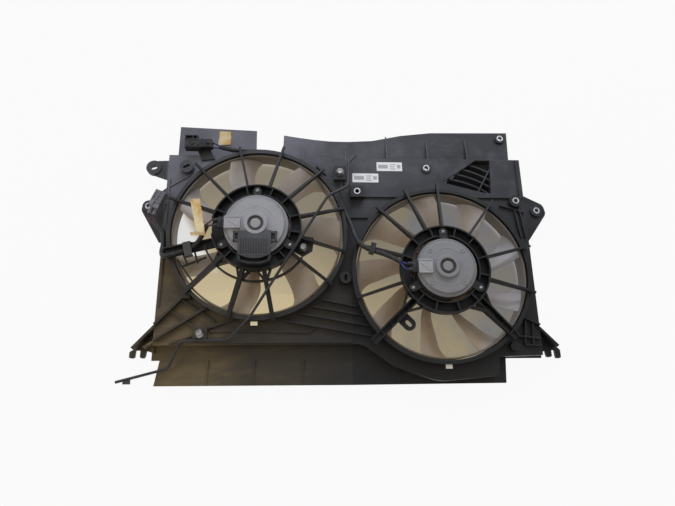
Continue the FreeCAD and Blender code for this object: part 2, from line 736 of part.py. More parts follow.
def motor_connector(side):
    """The moulded block on the cap that takes the lead, with its two-barrel plug."""
    start = {"left": (-53, 13, -9.5), "right": (-49.5, 12.3, -12.3)}[side]
    x, z_high, z_low = start
    wedge_block = block(x, -25.5, z_low, z_high, "cap_front", "cap_front + 5.5")
    tail = block(x - 4, x + 3, z_low + 1, z_high - 1, "cap_front - 3.5", "cap_front + 4")
    rim = "left_case_radius + cap_rim + 0.2" if side == "left" else "right_case_radius + cap_rim + 0.2"
    shape = cut(fuse([wedge_block, tail]), [cut(disc(rim, 60, "cap_front"), [disc(1, 50, 60)])])
    return node(f"{side}_motor_socket", place(shape, side))


def motor_plug(side):
    """The lead's plug: two round barrels in a flat housing."""
    x, z_high, z_low = {"left": (-57, 13, -9.5), "right": (-53.5, 12.3, -12.3)}[side]
    middle = (z_high + z_low) / 2
    pieces = [block(x - 6, x, z_low + 2, z_high - 2, "cap_front - 3.5", "cap_front + 4")]
    for offset in (-5, 5):
        barrel = doc.addObject("Part::Cylinder", "barrel")
        barrel.Placement = Placement(Vector(), Rotation(Vector(0, 1, 0), -90))
        bind(barrel, Radius=3.6, Height=9, Base_x=x - 5, Base_y="-cap_front", Base_z=middle + offset)
        pieces.append(barrel)
    return node(f"{side}_motor_plug", place(fuse(pieces), side))


# Rotors: made round the fan axis


BLADE_X = (56, 78, 104, 125, 134, 141, 152)
LEAD_EDGE = {"left": (-6, -12.5, -20, -29, -38, -54, -70), "right": (-2, 3, 16, 27, 37, 53, 68)}
TRAIL_EDGE = {"left": (13, 16.5, 22.5, 19, 15, 12, 9), "right": (-17, -19, -15, -11.5, -9.5, -7.5, -5)}


def origin_part(body, role):
    return [feature for feature in body.Origin.OriginFeatures if feature.Role == role][0]


def body_sketch(body, role, offset=0.0):
    sketch = body.newObject("Sketcher::SketchObject", "profile")
    sketch.AttachmentSupport = [(origin_part(body, role), "")]
    sketch.MapMode = "FlatFace"
    sketch.AttachmentOffset = Placement(Vector(0, 0, offset), Rotation())
    return sketch


def turned(body, kind, outline):
    """A Revolution or Groove about Y of an outline of (radius, depth) points."""
    sketch = body_sketch(body, "XY_Plane")
    draw(sketch, [(corner[0], -corner[1], *corner[2:]) for corner in outline])
    feature = body.newObject("PartDesign::" + kind, kind)
    feature.Profile = sketch
    feature.ReferenceAxis = (origin_part(body, "Y_Axis"), [""])
    feature.Angle = 360
    return feature


def blade_section(sketch, lead, trail):
    """One thin curved section: lead and trail are places along the rim of the wheel."""
    first = Vector(-SIZE["blade_back"], lead, 0)
    last = Vector(-SIZE["blade_front"], trail, 0)
    chord = (last - first).normalize()
    side = Vector(-chord.y, chord.x, 0) * (1 if trail > lead else -1)
    middle = (first + last) / 2 + side * SIZE["blade_camber"]
    edge, thick = side * (SIZE["blade_edge"] / 2), side * (SIZE["blade_thick"] / 2)
    sketch.addGeometry(Part.Arc(first + edge, middle + thick, last + edge), False)
    sketch.addGeometry(Part.LineSegment(last + edge, last - edge), False)
    sketch.addGeometry(Part.Arc(last - edge, middle - thick, first - edge), False)
    sketch.addGeometry(Part.LineSegment(first - edge, first + edge), False)


def fan_wheel(side):
    body = doc.addObject("PartDesign::Body", f"{side}_fan_body")
    s = SIZE
    cup = s["hub_radius"]
    turned(body, "Revolution", [(0, s["hub_back"]), (cup, s["hub_back"]), (cup, s["hub_front"]), (0, s["hub_front"])])
    sections = []
    for reach, lead, trail in zip(BLADE_X, LEAD_EDGE[side], TRAIL_EDGE[side]):
        sketch = body_sketch(body, "YZ_Plane", reach)
        blade_section(sketch, lead, trail)
        sections.append(sketch)
    doc.recompute()
    blade = body.newObject("PartDesign::AdditiveLoft", "blade")
    blade.Profile = sections[0]
    blade.Sections = sections[1:]
    blade.Ruled = False
    doc.recompute()
    pattern = body.newObject("PartDesign::PolarPattern", "blades")
    pattern.Originals = [blade]
    pattern.Axis = (origin_part(body, "Y_Axis"), [""])
    pattern.Angle = 360
    pattern.setExpression("Occurrences", bound(f"{side}_blades"))
    body.Tip = pattern
    doc.recompute()
    trim = s["band_inner"] + 1.2
    turned(body, "Groove", [(trim, 0), (190, 0), (190, 60), (trim, 60)])
    inner = cup - s["hub_wall"]
    floor = s["hub_back"] + s["hub_wall"]
    turned(body, "Groove", [(11, floor), (inner, floor, 3), (inner, 60), (0, 60), (0, 16.4), (9, 16.4)])
    shaft = s["shaft_radius"]
    turned(body, "Groove", [(0, 0), (shaft, 0), (shaft, 30), (0, 30)])
    band = [(s["band_inner"], s["band_back"]), (s["band_outer"], s["band_back"]),
            (s["band_outer"], s["band_front"] - 2.5), (s["band_outer"] + 0.8, s["band_front"] - 2.5),
            (s["band_outer"] + 0.8, s["band_front"]), (s["band_inner"], s["band_front"])]
    turned(body, "Revolution", band)
    doc.recompute()
    start = s[f"{side}_blade_start"]
    body.Placement = Placement(Vector(), Rotation(Vector(0, 1, 0), -start))
    return node(f"{side}_fan", place(body, side))


def shaft(side):
    """The steel shaft with a flat seat for the hub and a threaded end for the nut."""
    body = doc.addObject("PartDesign::Body", f"{side}_shaft_body")
    r = SIZE["shaft_radius"]
    turned(body, "Revolution", [(0, 1), (r - 0.6, 1), (r, 1.6), (r, 80), (r - 0.8, 81), (0, 81)])
    return node(f"{side}_shaft", place(body, side))


def fan_nut(side):
    plate = ring(8, "shaft_radius", 4.8, "hub_back")
    nut = cut(hexagon(13, 1.5, 4.9), [disc("shaft_radius", 0, 10)])
    return node(f"{side}_fan_nut", place(fuse([nut, plate]), side))


def armature(side):
    """A slotted iron core with windings, on the shaft."""
    core_radius = f"{side}_case_radius - case_wall - magnet_wall - air_gap"
    core = disc(core_radius, 32, 56)
    coil_radius = SIZE[f"{side}_case_radius"] - 18
    coils = disc(coil_radius, 27, 61)
    slots = []
    teeth = 12
    outer = SIZE[f"{side}_case_radius"]
    for tooth in range(teeth):
        angle = 360 / teeth * (tooth + 0.5)
        slots.append(rib(polar(coil_radius - 2, angle), polar(outer, angle), 3, 20, 64))
    shape = cut(fuse([core, coils]), slots + [disc("shaft_radius", 10, 70)])
    return node(f"{side}_armature", place(shape, side))


def commutator(side):
    """The copper segments that the brushes rub on."""
    drum = ring(12, "shaft_radius", 61, 70)
    slots = []
    for step in range(12):
        angle = 30 * step + 15
        slots.append(rib(polar(10.8, angle), polar(13, angle), 0.8, 60, 69))
    return node(f"{side}_commutator", place(cut(drum, slots), side))


# Left motor's controller


def controller():
    """The dark finned box clipped to the lower half of the left cap."""
    face = 80.0
    outline = [(-28, -13, 2), (27, -13, 2), (27, -56, 3), (12, -61, 8), (-12, -61, 8), (-28, -56, 3)]
    body = prism(outline, face, 87)
    top = block(-14, 14, -14, -4, face, 84)
    lower = block(-27, 26, -55.4, -45, 70, face + 1)
    sides = [block(-36.5, -27, -33, -14, face, 85), block(26, 36.5, -33, -14, face, 85)]
    fins = [block(-25 + 4.2 * i, -23.4 + 4.2 * i, -54, -19, 86, 89) for i in range(12)]
    pieces = fuse([body, top, lower] + sides + fins)
    shape = cut(pieces, [disc("boss_radius + 0.6", 70, 95), disc("left_case_radius + cap_rim + 0.3", 60, 76),
                         disc("left_case_radius + cap_rim - cap_face_inset + 0.3", 60, 80)])
    return node("left_controller", place(shape, "left"))


def controller_cup():
    """The black cup under the controller that shields its connector."""
    outline = [(-29, -56.5), (28, -56.5), (26, -66, 4), (10, -71, 10), (-10, -71, 10), (-27, -66, 4)]
    outer = prism(outline, 72, 85)
    keep_out = prism([(-28.3, -52), (27.3, -52), (27.3, -56.2, 3), (12, -61.3, 8), (-12, -61.3, 8),
                      (-28.3, -56.2, 3)], 60, 95)
    room = prism([(-24, -55), (23, -55), (22, -64.5, 3), (9, -68.5, 8), (-9, -68.5, 8), (-23, -64.5, 3)], 75, 95)
    return node("controller_cup", place(cut(outer, [keep_out, room]), "left"))


# Metal sleeves, bolts and small fixtures, in the row's own place


SLEEVES = [(-364.6, 70.3, 0, 12), (359.8, 67, 0, 11), (311, 76, "face_depth - wall", 37), (306, 221, 0, 8),
           (148.4, 142.6, "face_depth - wall", 33), (15.8, 89.8, 27, 43)]
SLEEVE_NAMES = ["left_ear_sleeve", "right_ear_sleeve", "right_boss_sleeve", "upper_flap_sleeve",
                "upper_panel_sleeve", "block_insert"]


def sleeves():
    for name, (x, z, back, front) in zip(SLEEVE_NAMES, SLEEVES):
        node(name, ring("sleeve_radius", "sleeve_bore", back, front, x, z))


def flange_bolt(x, z, seat, reach):
    head = hexagon("bolt_flats", seat, seat + 7, x, z)
    flange = disc("bolt_flange", seat, seat + 1.8, x, z)
    return cut(fuse([head, flange, disc(3, seat - reach, seat + 1, x, z)]), [disc(3.2, seat + 5.8, seat + 9, x, z)])


def bolts():
    obj = doc.addObject("Part::Compound", "bolts")
    obj.Links = [flange_bolt(-14.6, 129.5, 36, 16), flange_bolt(-253, -166.8, 34, 14)]
    node("panel_bolts", obj)
    stay_bolt = flange_bolt(80, -34.6, 58, 10)
    node("stay_bolt", place(stay_bolt, "left"))


LABELS = [(55, 103, 136.8, 154.8), (9, 57.5, 113.2, 131.2)]


def labels():
    """Two blank stickers on the right moulding."""
    obj = doc.addObject("Part::Compound", "labels")
    obj.Links = [block(x0, x1, z0, z1, 29, 29.4) for x0, x1, z0, z1 in LABELS]
    node("blank_labels", obj)


def tapes():
    """A folded patch of tape on the upper flap."""
    patch = block(-245, -223, 200.5, 230.5, 3, 3.6)
    fold = block(-246, -224, 200.5, 213, 3.5, 4.2)
    node("tape_patch", fuse([patch, fold]))


def tape_strip():
    """The strip of tape that hangs from a spoke to the left lead."""
    top = rib((-262.9, 60.5), (-257.8, 30), 15, 66.4, 67.1)
    middle = rib((-257.8, 31), (-255.6, 8), 14, 66.9, 67.6)
    end = rib((-256.5, 9), (-262.5, -3), 8.5, 67.4, 68.1)
    node("tape_strip", fuse([top, middle, end]))


# Wiring


def rounded_path(points, share=0.45):
    """A wire of straight runs joined by tangent arcs, as large as the runs allow."""
    points = [Vector(x, -depth, z) for x, z, depth in points]
    edges = []
    start = points[0]
    radii = []
    for before, corner, after in zip(points, points[1:], points[2:]):
        run = share * min(before.distanceToPoint(corner), corner.distanceToPoint(after))
        half = (before - corner).getAngle(after - corner) / 2
        radius = run * math.tan(half)
        first, middle, last = corner_arc(before, corner, after, radius)
        edges.append(Part.LineSegment(start, first).toShape())
        edges.append(Part.Arc(first, middle, last).toShape())
        radii.append(round(radius, 1))
        start = last
    edges.append(Part.LineSegment(start, points[-1]).toShape())
    return Part.Wire(edges), radii


def tube(name, points, radius, share=0.45, keep=True):
    """A round tube along a route of (x, z, depth) points."""
    wire, radii = rounded_path(points, share)
    way = Vector(points[1][0] - points[0][0], -(points[1][2] - points[0][2]), points[1][1] - points[0][1])
    start = Vector(points[0][0], -points[0][2], points[0][1])
    circle = Part.Wire([Part.Circle(start, way, radius).toShape()])
    shape = wire.makePipeShell([circle], True, False)
    expected = math.pi * radius ** 2 * wire.Length
    print(name, "radii", radii, "length", round(wire.Length), "volume share", round(shape.Volume / expected, 4))
    obj = doc.addObject("Part::Feature", name)
    obj.Shape = shape
    return node(name, obj) if keep else obj


# Route of each lead's sleeve as (x, z, depth), and of the bare wires at both of its ends.
LEFT_LEAD = [
    (-343, 29.5, 33), (-335, 20, 33), (-328, 11, 33.5), (-325.5, -3, 34.5), (-325, -15, 36), (-325, -27, 42),
    (-321, -37, 50), (-313, -38, 54.5), (-304, -35.5, 54.5), (-290, -31.5, 54.5), (-279, -28, 54.5),
    (-269, -22.5, 55.5), (-261, -15.5, 58), (-254, -6.5, 63), (-248, 3, 71), (-243.5, 9, 77),
]
LEFT_WIRES = [
    [(-355.2, 47.4, 34), (-356.2, 40, 34), (-353, 33.5, 33.5), (-344.2, 28.2, 33)],
    [(-347.3, 44.3, 34), (-347.4, 38, 34), (-345, 34, 33.5), (-341.8, 30.8, 33)],
    [(-232.5, 7.75, 80), (-236, 7.8, 80), (-241.5, 7.9, 77.6)],
    [(-232.5, 17.75, 80), (-236, 17.2, 80.2), (-240, 13.6, 79.5), (-243.2, 11.2, 77.4)],
]
RIGHT_LEAD = [
    (-237.5, 181, 32), (-226, 177.2, 33), (-215, 174.3, 34.3), (-200, 171.9, 34.5), (-178, 171.2, 34.5),
    (-150, 171.0, 34.5), (-120, 165.7, 34.5), (-81.4, 149.7, 34.5), (-48.2, 124.3, 34.5), (-22.8, 91.1, 34.5),
    (-11, 65.8, 34.8), (-3, 41, 38), (4, 21, 46), (6.5, 8, 52), (9.5, -4, 56.5), (15, -14, 58.8), (22, -21, 59.2),
    (34, -28.4, 59.8), (46, -32.2, 62), (59.8, -37.8, 64.5), (71, -44.5, 69), (79.5, -51.5, 75.4), (84, -56, 78),
]
RIGHT_WIRES = [
    [(-250.4, 188, 33), (-246, 187, 33), (-241, 184, 32.4), (-236.8, 182.6, 32)],
    [(-250.4, 180, 31), (-246, 179.4, 31), (-242, 179.2, 31.6), (-237.8, 179.4, 32)],
    [(94, -58.5, 80), (90, -58.5, 80), (84.6, -55, 78.4)],
    [(94, -68.5, 80), (89.5, -67, 80), (86.5, -62, 79.2), (82.8, -57.2, 77.8)],
]

# Route of the bent rod: straight stretches with sharp bends, past the front of the left fan.
BENT_ROD = [
    (14, 161, 44), (0.5, 143, 50), (-2.5, 92, 58), (-38, 67, 74), (-95, -28, 77), (-168, -142, 55),
    (-206, -178, 33), (-284, -178.5, 33), (-304, -219, 16), (-312, -223.5, 11), (-390, -243.5, 11),
]


def wires(name, routes):
    obj = doc.addObject("Part::Compound", name)
    obj.Links = [tube(f"{name}_{count}", route, SIZE["wire_radius"], keep=False)
                 for count, route in enumerate(routes)]
    return node(name, obj)


def wiring():
    tube("left_lead", LEFT_LEAD, SIZE["lead_radius"])
    tube("right_lead", RIGHT_LEAD, SIZE["lead_radius"])
    wires("left_wires", LEFT_WIRES)
    wires("right_wires", RIGHT_WIRES)
    strap("left_lead_strap", (-277, -27.5), 14.5, 13, (12, 12), (52.5, 57), 60.2)
    strap("right_lead_strap", (38, -26), -17.5, 9, (8.6, 8), (54, 51), 66.4)


def strap(name, middle, angle, length, reach, backs, front):
    """A clip across a lead: a plate in front of it, and a leg past each side, given as below and above."""
    along = polar(length / 2, angle)
    pieces = []
    for sign, offset, back in ((-1, reach[0], backs[0]), (1, reach[1], backs[1])):
        side = polar(offset * sign, angle + 90)
        x, z = middle[0] + side[0], middle[1] + side[1]
        pieces.append(rib((x - along[0], z - along[1]), (x + along[0], z + along[1]), 1.6, back, front + 1.6))
    shift = polar((reach[1] - reach[0]) / 2, angle + 90)
    x, z = middle[0] + shift[0], middle[1] + shift[1]
    pieces.append(rib((x - along[0], z - along[1]), (x + along[0], z + along[1]), reach[0] + reach[1],
                      front, front + 1.6))
    return node(name, fuse(pieces))


def bent_rod():
    """The rod, with the small tab under its free end."""
    rod = tube("rod", BENT_ROD, SIZE["rod_radius"], 0.14, keep=False)
    foot = block(-378, -366, -247, -238.8, 9.6, 12.4)
    node("bent_rod", fuse([rod, foot]))


def top_connector():
    """The black connector on its bracket at the upper left, with a mating plug."""
    shell = block(-300, -271, 173.5, 191, 28, 44)
    shelf = block(-301, -277, 190, 200, 34, 42)
    recesses = [block(-299, -287, 191.5, 198.5, 37, 43), block(-285, -279.5, 193, 198.5, 37, 43),
                block(-301, -296, 176, 188.5, 31, 41)]
    foot = prism([(-281, 180), (-270, 155), (-246, 158), (-257, 180)], 25, 28.5)
    node("top_connector", fuse([cut(fuse([shell, shelf]), recesses), foot]))
    body = block(-271, -251, 176, 192, 29, 42)
    collar = block(-271, -268, 175, 193, 28.5, 43)
    boots = [disc_along_x(3.2, -251.5, -250.4, 188, 33), disc_along_x(3.2, -251.5, -250.4, 180, 31)]
    node("top_plug", fuse([body, collar] + boots))


EAR_TILT = 22
EAR_PLACE = (-342, 68)


def ear_connector():
    """The grey connector beside the left ear on its foot, with its plug below, both leaning over."""
    shell = block(-10, 9, -4, 20, 28.2, 43)
    cuts = [block(-6, 5, 8, 21, 31, 39), block(-11, -5, 3, 6, 40, 44)]
    clip = block(-12, -9.5, 2, 14, 31, 39)
    housing = cut(fuse([shell, clip]), cuts)
    lean(housing)
    foot = block(-342, -327.4, 68, 82, 25, 28.6)
    node("ear_connector", fuse([housing, foot]))
    plug = block(-8, 8.5, -13, -4, 28, 42)
    barrels = [disc_along_z(3.3, -4.5, -24, -12, 34), disc_along_z(3.3, 4, -24, -12, 34)]
    latch = block(-9.5, -2, -11, -1, 42, 44.5)
    whole = fuse([plug] + barrels + [cut(latch, [block(-10, 9, -4, 20, 26, 43)])])
    lean(whole)
    node("ear_plug", whole)


def lean(obj):
    obj.Placement = Placement(Vector(), Rotation(Vector(0, 1, 0), EAR_TILT))
    bind(obj, Base_x=EAR_PLACE[0], Base_z=EAR_PLACE[1])


def disc_along_x(radius, x0, x1, z, depth):
    obj = doc.addObject("Part::Cylinder", "stub")
    obj.Placement = Placement(Vector(), Rotation(Vector(0, 1, 0), 90))
    bind(obj, Radius=radius, Height=x1 - x0, Base_x=x0, Base_y=-depth, Base_z=z)
    return obj


def disc_along_z(radius, x, z0, z1, depth):
    obj = doc.addObject("Part::Cylinder", "neck")
    bind(obj, Radius=radius, Height=z1 - z0, Base_x=x, Base_y=-depth, Base_z=z0)
    return obj


left_panel()
right_panel()
left_stay()
right_stay()
for hand in ("left", "right"):
    motor_case(hand)
    motor_cap(hand)
    motor_bracket(hand)
    motor_screws(hand)
    magnets(hand)
    bush(hand, "fan_side", "case_back - 3", "case_back + 6")
    bush(hand, "cap_side", 73, 80)
    brush_holder(hand)
    brushes(hand)
    motor_connector(hand)
    motor_plug(hand)
    fan_wheel(hand)
    shaft(hand)
    fan_nut(hand)
    armature(hand)
    commutator(hand)
controller()
controller_cup()
sleeves()
bolts()
labels()
tapes()
tape_strip()
top_connector()
ear_connector()
wiring()
bent_rod()

doc.recompute()
failed = [obj.Name + " " + obj.Label for obj in doc.Objects if {"Invalid", "Error"} & set(obj.State)]
for name, obj in NODES.items():
    if obj.Shape.isNull() or not obj.Shape.isValid() or not obj.Shape.Solids:
        failed.append(name)
if failed:
    raise RuntimeError("these did not build: " + ", ".join(failed))

os.makedirs("parts", exist_ok=True)
for name, obj in NODES.items():
    obj.Shape.exportStep(f"parts/{name}.step")
    print(name, "solids", len(obj.Shape.Solids), "volume", round(obj.Shape.Volume / 1000, 1))
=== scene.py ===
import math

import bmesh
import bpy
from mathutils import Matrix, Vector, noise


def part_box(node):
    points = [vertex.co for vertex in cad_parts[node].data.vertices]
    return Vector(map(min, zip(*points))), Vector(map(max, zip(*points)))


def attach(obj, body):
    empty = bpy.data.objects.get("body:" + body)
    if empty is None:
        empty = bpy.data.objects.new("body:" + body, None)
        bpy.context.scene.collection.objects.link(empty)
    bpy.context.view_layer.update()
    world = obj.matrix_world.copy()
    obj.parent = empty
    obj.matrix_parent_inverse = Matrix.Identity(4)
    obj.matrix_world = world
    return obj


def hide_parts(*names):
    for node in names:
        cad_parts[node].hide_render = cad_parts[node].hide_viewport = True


bl_info = {
    "name": "Twin radiator cooling fan",
    "version": (1, 0, 0),
    "blender": (4, 5, 0),
    "location": "3D View > Sidebar > Cooling fan",
    "description": "Dresses a twin radiator cooling fan: mouldings, motors, fan wheels, leads, finishes",
    "category": "Object",
}

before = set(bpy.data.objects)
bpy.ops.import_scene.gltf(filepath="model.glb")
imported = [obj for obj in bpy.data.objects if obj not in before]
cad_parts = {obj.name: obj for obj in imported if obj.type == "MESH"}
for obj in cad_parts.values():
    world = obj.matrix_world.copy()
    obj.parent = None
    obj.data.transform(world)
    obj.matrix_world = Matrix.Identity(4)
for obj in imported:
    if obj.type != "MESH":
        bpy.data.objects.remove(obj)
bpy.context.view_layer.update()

MM = 0.001
SIDES = ("left", "right")

# The photograph's view: the camera stands below the fan's middle and looks up at it.
PHOTO_WIDTH = 675
PHOTO_FOCAL = 530
CAMERA_PLACE = (-0.070, -0.9272, -0.3030)
CAMERA_PITCH = math.radians(17.21)
CAMERA_YAW = math.radians(3.14)
CAMERA_ROLL = math.radians(-0.76)
SENSOR_WIDTH = 36


def fan_axis(side):
    """The place of a fan's axis as (x, z), from its shaft."""
    low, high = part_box(f"{side}_shaft")
    return (low.x + high.x) / 2, (low.z + high.z) / 2


AXIS = {side: fan_axis(side) for side in SIDES}


def at(x, z, depth):
    """A point from millimetres seen from the front, with its depth towards the motors."""
    return Vector((x, -depth, z)) * MM


def polar(radius, angle):
    """An (x, z) pair at a radius and an angle in degrees, counted from +X towards +Z."""
    return radius * math.cos(math.radians(angle)), radius * math.sin(math.radians(angle))


def dimmed(colour, by):
    """A colour made darker, or lighter where by is over 1."""
    return tuple(value * by for value in colour)


# Materials

class Field:
    """A number or colour on its way through a node tree, which sums can be written with."""

    def __init__(self, nodes, socket):
        self.nodes = nodes
        self.socket = socket

    def sum(self, operation, *others, clamp=False):
        values = dict(enumerate((self, *others)))
        return self.nodes.make("Math", {"operation": operation, "use_clamp": clamp}, values)

    def __add__(self, other):
        return self.sum("ADD", other)

    def __mul__(self, other):
        return self.sum("MULTIPLY", other)

    def __sub__(self, other):
        return self.sum("SUBTRACT", other)

    def __rsub__(self, other):
        return self.nodes.make("Math", {"operation": "SUBTRACT"}, {0: other, 1: self})

    __radd__ = __add__
    __rmul__ = __mul__

    def between(self, low, high):
        """0 below low, 1 above high and smooth in between."""
        values = {"Value": self, "From Min": low, "From Max": high}
        return self.nodes.make("MapRange", {"interpolation_type": "SMOOTHSTEP"}, values, "Result")

    def clamped(self):
        return self.sum("ADD", 0.0, clamp=True)

    def power(self, exponent):
        return self.sum("POWER", exponent)

    def bigger(self, other):
        return self.sum("MAXIMUM", other)

    def away(self):
        return self.sum("ABSOLUTE")


class Nodes:
    """A node tree that is being made."""

    def __init__(self, tree):
        self.tree = tree
        tree.nodes.clear()

    def make(self, kind, settings=None, values=None, out=0):
        """Add a node, with its settings first and then the values or links of its sockets."""
        node = self.tree.nodes.new(kind if "Node" in kind else "ShaderNode" + kind)
        for name, value in (settings or {}).items():
            if name == "stops":
                self.set_stops(node.color_ramp, value)
            else:
                setattr(node, name, value)
        for name, value in (values or {}).items():
            if isinstance(value, Field):
                self.tree.links.new(value.socket, node.inputs[name])
            else:
                node.inputs[name].default_value = value
        return Field(self, node.outputs[out]) if len(node.outputs) else node

    def set_stops(self, ramp, stops):
        while len(ramp.elements) < len(stops):
            ramp.elements.new(1)
        for element, (position, colour) in zip(ramp.elements, stops):
            element.position = position
            element.color = (*colour, 1)


class Finish(Nodes):
    """A material that is being made."""

    def __init__(self, name):
        self.material = bpy.data.materials.new(name)
        self.material.use_nodes = True
        super().__init__(self.material.node_tree)
        self.place = None

    def coordinates(self):
        if self.place is None:
            self.place = self.make("TexCoord", out="Object")
        return self.place

    def axis(self, letter):
        return self.make("SeparateXYZ", None, {0: self.coordinates()}, letter)

    def reach(self, x, z):
        """Distance from the line through (x, z) that runs along the depth."""
        dx, dz = self.axis("X") - x, self.axis("Z") - z
        return (dx * dx + dz * dz).sum("SQRT")

    def noise(self, scale, detail=4.0, roughness=0.6, stretch=(1, 1, 1), distortion=0.0):
        """Cloudy noise between 0 and 1, whose scale is in features per metre."""
        place = self.make("Mapping", None, {"Vector": self.coordinates(), "Scale": stretch})
        return self.make("TexNoise", None, {"Vector": place, "Scale": scale, "Detail": detail,
                                            "Roughness": roughness, "Distortion": distortion}, "Fac")

    def mix(self, share, first, second):
        """Two colours mixed, each given as three numbers or a field."""
        first, second = (colour if isinstance(colour, Field) else (*colour, 1) for colour in (first, second))
        return self.make("Mix", {"data_type": "RGBA"}, {0: share, 6: first, 7: second}, 2)

    def rounded(self, radius):
        """A normal that rounds the sharp edges of a moulding or a pressing."""
        return self.make("Bevel", {"samples": 4}, {"Radius": radius})

    def edge(self, radius):
        """1 along sharp edges and 0 on flat stretches."""
        soft = self.rounded(radius)
        true = self.make("NewGeometry", out="Normal")
        dot = self.make("VectorMath", {"operation": "DOT_PRODUCT"}, {0: soft, 1: true}, "Value")
        return (1 - dot).between(0.02, 0.25)

    def bump(self, height, distance, strength=1.0, normal=None):
        values = {"Height": height, "Distance": distance, "Strength": strength}
        if normal is not None:
            values["Normal"] = normal
        return self.make("Bump", None, values)

    def shade(self, values):
        """A Principled surface."""
        return self.make("BsdfPrincipled", None, values)

    def end(self, surface):
        self.make("OutputMaterial", None, {"Surface": surface})
        return self.material


def moulding(name, colour, film, sheen=0.5):
    """Black moulded plastic: a painted bluish sheen above, a brown film of dust low at the left, edges
    lightened as wear and painted highlight.
    """
    f = Finish(name)
    height = f.axis("Z")
    across = f.axis("X")
    depth = f.axis("Y") * -1
    flat = 1 - depth.between(0.0262, 0.0300)
    face = 1 - depth.between(0.0298, 0.0335)
    cloud = f.noise(7, 4, 0.55, distortion=0.3)
    streak = f.noise(26, 5, 0.6, (0.5, 1, 2.2), 0.5)
    top = height.between(-0.08, 0.20)
    left = 1 - across.between(-0.34, 0.24)
    outer = 0.3 + 0.7 * (across.away() * -1 + 0.3415).between(0, 0.006)
    blotch = 0.55 + 0.75 * cloud.between(0.34, 0.66)
    # Painted sheen: pale is a bluish reflection painted into the colour, strongest at the top left and on the
    # flat front face; outer weakens it, and the dust, past the sides of the front face.
    pale = (top * (0.22 + 0.78 * left) * blotch * (0.3 + 0.7 * face) * outer).clamped()
    base = f.mix(pale * sheen, colour, (0.190, 0.190, 0.225))
    # Painted sheen: bluish grey patches on the upper front face that stand in for reflected light.
    painted_sheen_patches = f.noise(13, 6, 0.7, (1, 1, 1.5)).between(0.46, 0.74) * top * face
    base = f.mix(painted_sheen_patches * 0.32, base, (0.22, 0.22, 0.26))
    low = 1 - height.between(-0.14, 0.10)
    near = (1 - across.between(-0.33, 0.02)).power(1.4)
    patchy = 0.5 + 0.85 * cloud.between(0.32, 0.68)
    dusty = (low * (0.10 + 0.9 * near) * patchy * (0.28 + 0.72 * flat) * outer * film).clamped()
    dusty = (dusty * (0.8 + 0.5 * streak.between(0.4, 0.7))).clamped()
    base = f.mix(dusty, base, (0.165, 0.124, 0.066))
    scuff = f.noise(160, 8, 0.75, (1, 1, 0.2)).between(0.64, 0.73) * 0.16
    base = f.mix(scuff, base, (0.13, 0.13, 0.13))
    # Edges lightened: partly rubbed wear, partly a painted highlight along the edges.
    lighter_edges = f.edge(0.0012) * (0.15 + 0.5 * f.noise(60, 4).between(0.4, 0.7))
    base = f.mix(lighter_edges, base, (0.125, 0.125, 0.130))
    rough = 0.38 + 0.14 * streak + 0.34 * dusty + 0.12 * f.noise(55, 5)
    grain = f.noise(2600, 2, 0.5)
    normal = f.bump(grain + 0.6 * f.noise(420, 3), 0.00006, 0.55, f.rounded(0.0007))
    return f.end(f.shade({"Base Color": base, "Roughness": rough.clamped(), "Normal": normal,
                          "Specular IOR Level": 0.45}))


def painted_cap(name, colour, side=None):
    """Matt grey painted casting with some dirt, and painted shade in the ring round a cap's button."""
    f = Finish(name)
    darkening = f.noise(38, 6, 0.7).between(0.42, 0.75)
    if side:
        reach = f.reach(*AXIS[side])
        # Painted shade: the recessed ring round the button is darkened as if shaded.
        recess = reach.between(0.0082, 0.0092) * (1 - reach.between(0.0130, 0.0142))
        colour = f.mix(recess * 0.8, colour, dimmed(colour, 0.22))
        # The cap is a quarter darker beyond 46 to 49 mm from its axis.
        colour = f.mix(reach.between(0.046, 0.049) * 0.25, colour, (0.05, 0.05, 0.05))
    speck = f.noise(900, 2).between(0.62, 0.72)
    base = f.mix(darkening * 0.35, colour, f.mix(0.38, colour, (0, 0, 0)))
    base = f.mix(speck * 0.25, base, (0.06, 0.055, 0.05))
    lighter_edges = f.edge(0.0012) * 0.2
    base = f.mix(lighter_edges, base, (0.55, 0.55, 0.55))
    normal = f.bump(f.noise(1500, 3), 0.00005, 0.6, f.rounded(0.0007))
    rough = 0.48 + 0.18 * darkening
    return f.end(f.shade({"Base Color": base, "Roughness": rough, "Normal": normal}))


def milky(name, colour, warm, side):
    """Translucent fan plastic: milky, warmer where the dust of use has stained it and warmer towards the
    bottom.
    """
    f = Finish(name)
    stain = f.noise(14, 5, 0.6, distortion=0.5).between(0.3, 0.75)
    low = 1 - f.axis("Z").between(-0.16, 0.12)
    tint = (stain * 0.55 + low * 0.5).clamped()
    base = f.mix(tint, colour, warm)
    base = f.mix(f.axis("X").between(0.19, 0.29) * 0.75, base, (0.58, 0.59, 0.65))
    # Painted shade: the outer band, which sits inside the black collar, is darkened as if shaded.
    band = f.reach(*AXIS[side]).between(0.1455, 0.1464)
    base = f.mix(band * 0.7, base, (0.19, 0.155, 0.105))
    rub = f.noise(70, 6, 0.7).between(0.55, 0.75)
    base = f.mix(rub * 0.3, base, dimmed(warm, 0.55))
    normal = f.bump(f.noise(300, 3), 0.00008, 0.35, f.rounded(0.0008))
    surface = f.shade({"Base Color": base, "Roughness": 0.36 + 0.2 * rub, "Normal": normal,
                       "Specular IOR Level": 0.45})
    through = f.make("BsdfTranslucent", None, {"Color": base, "Normal": normal})
    return f.end(f.make("MixShader", None, {0: 0.38, 1: surface, 2: through}))


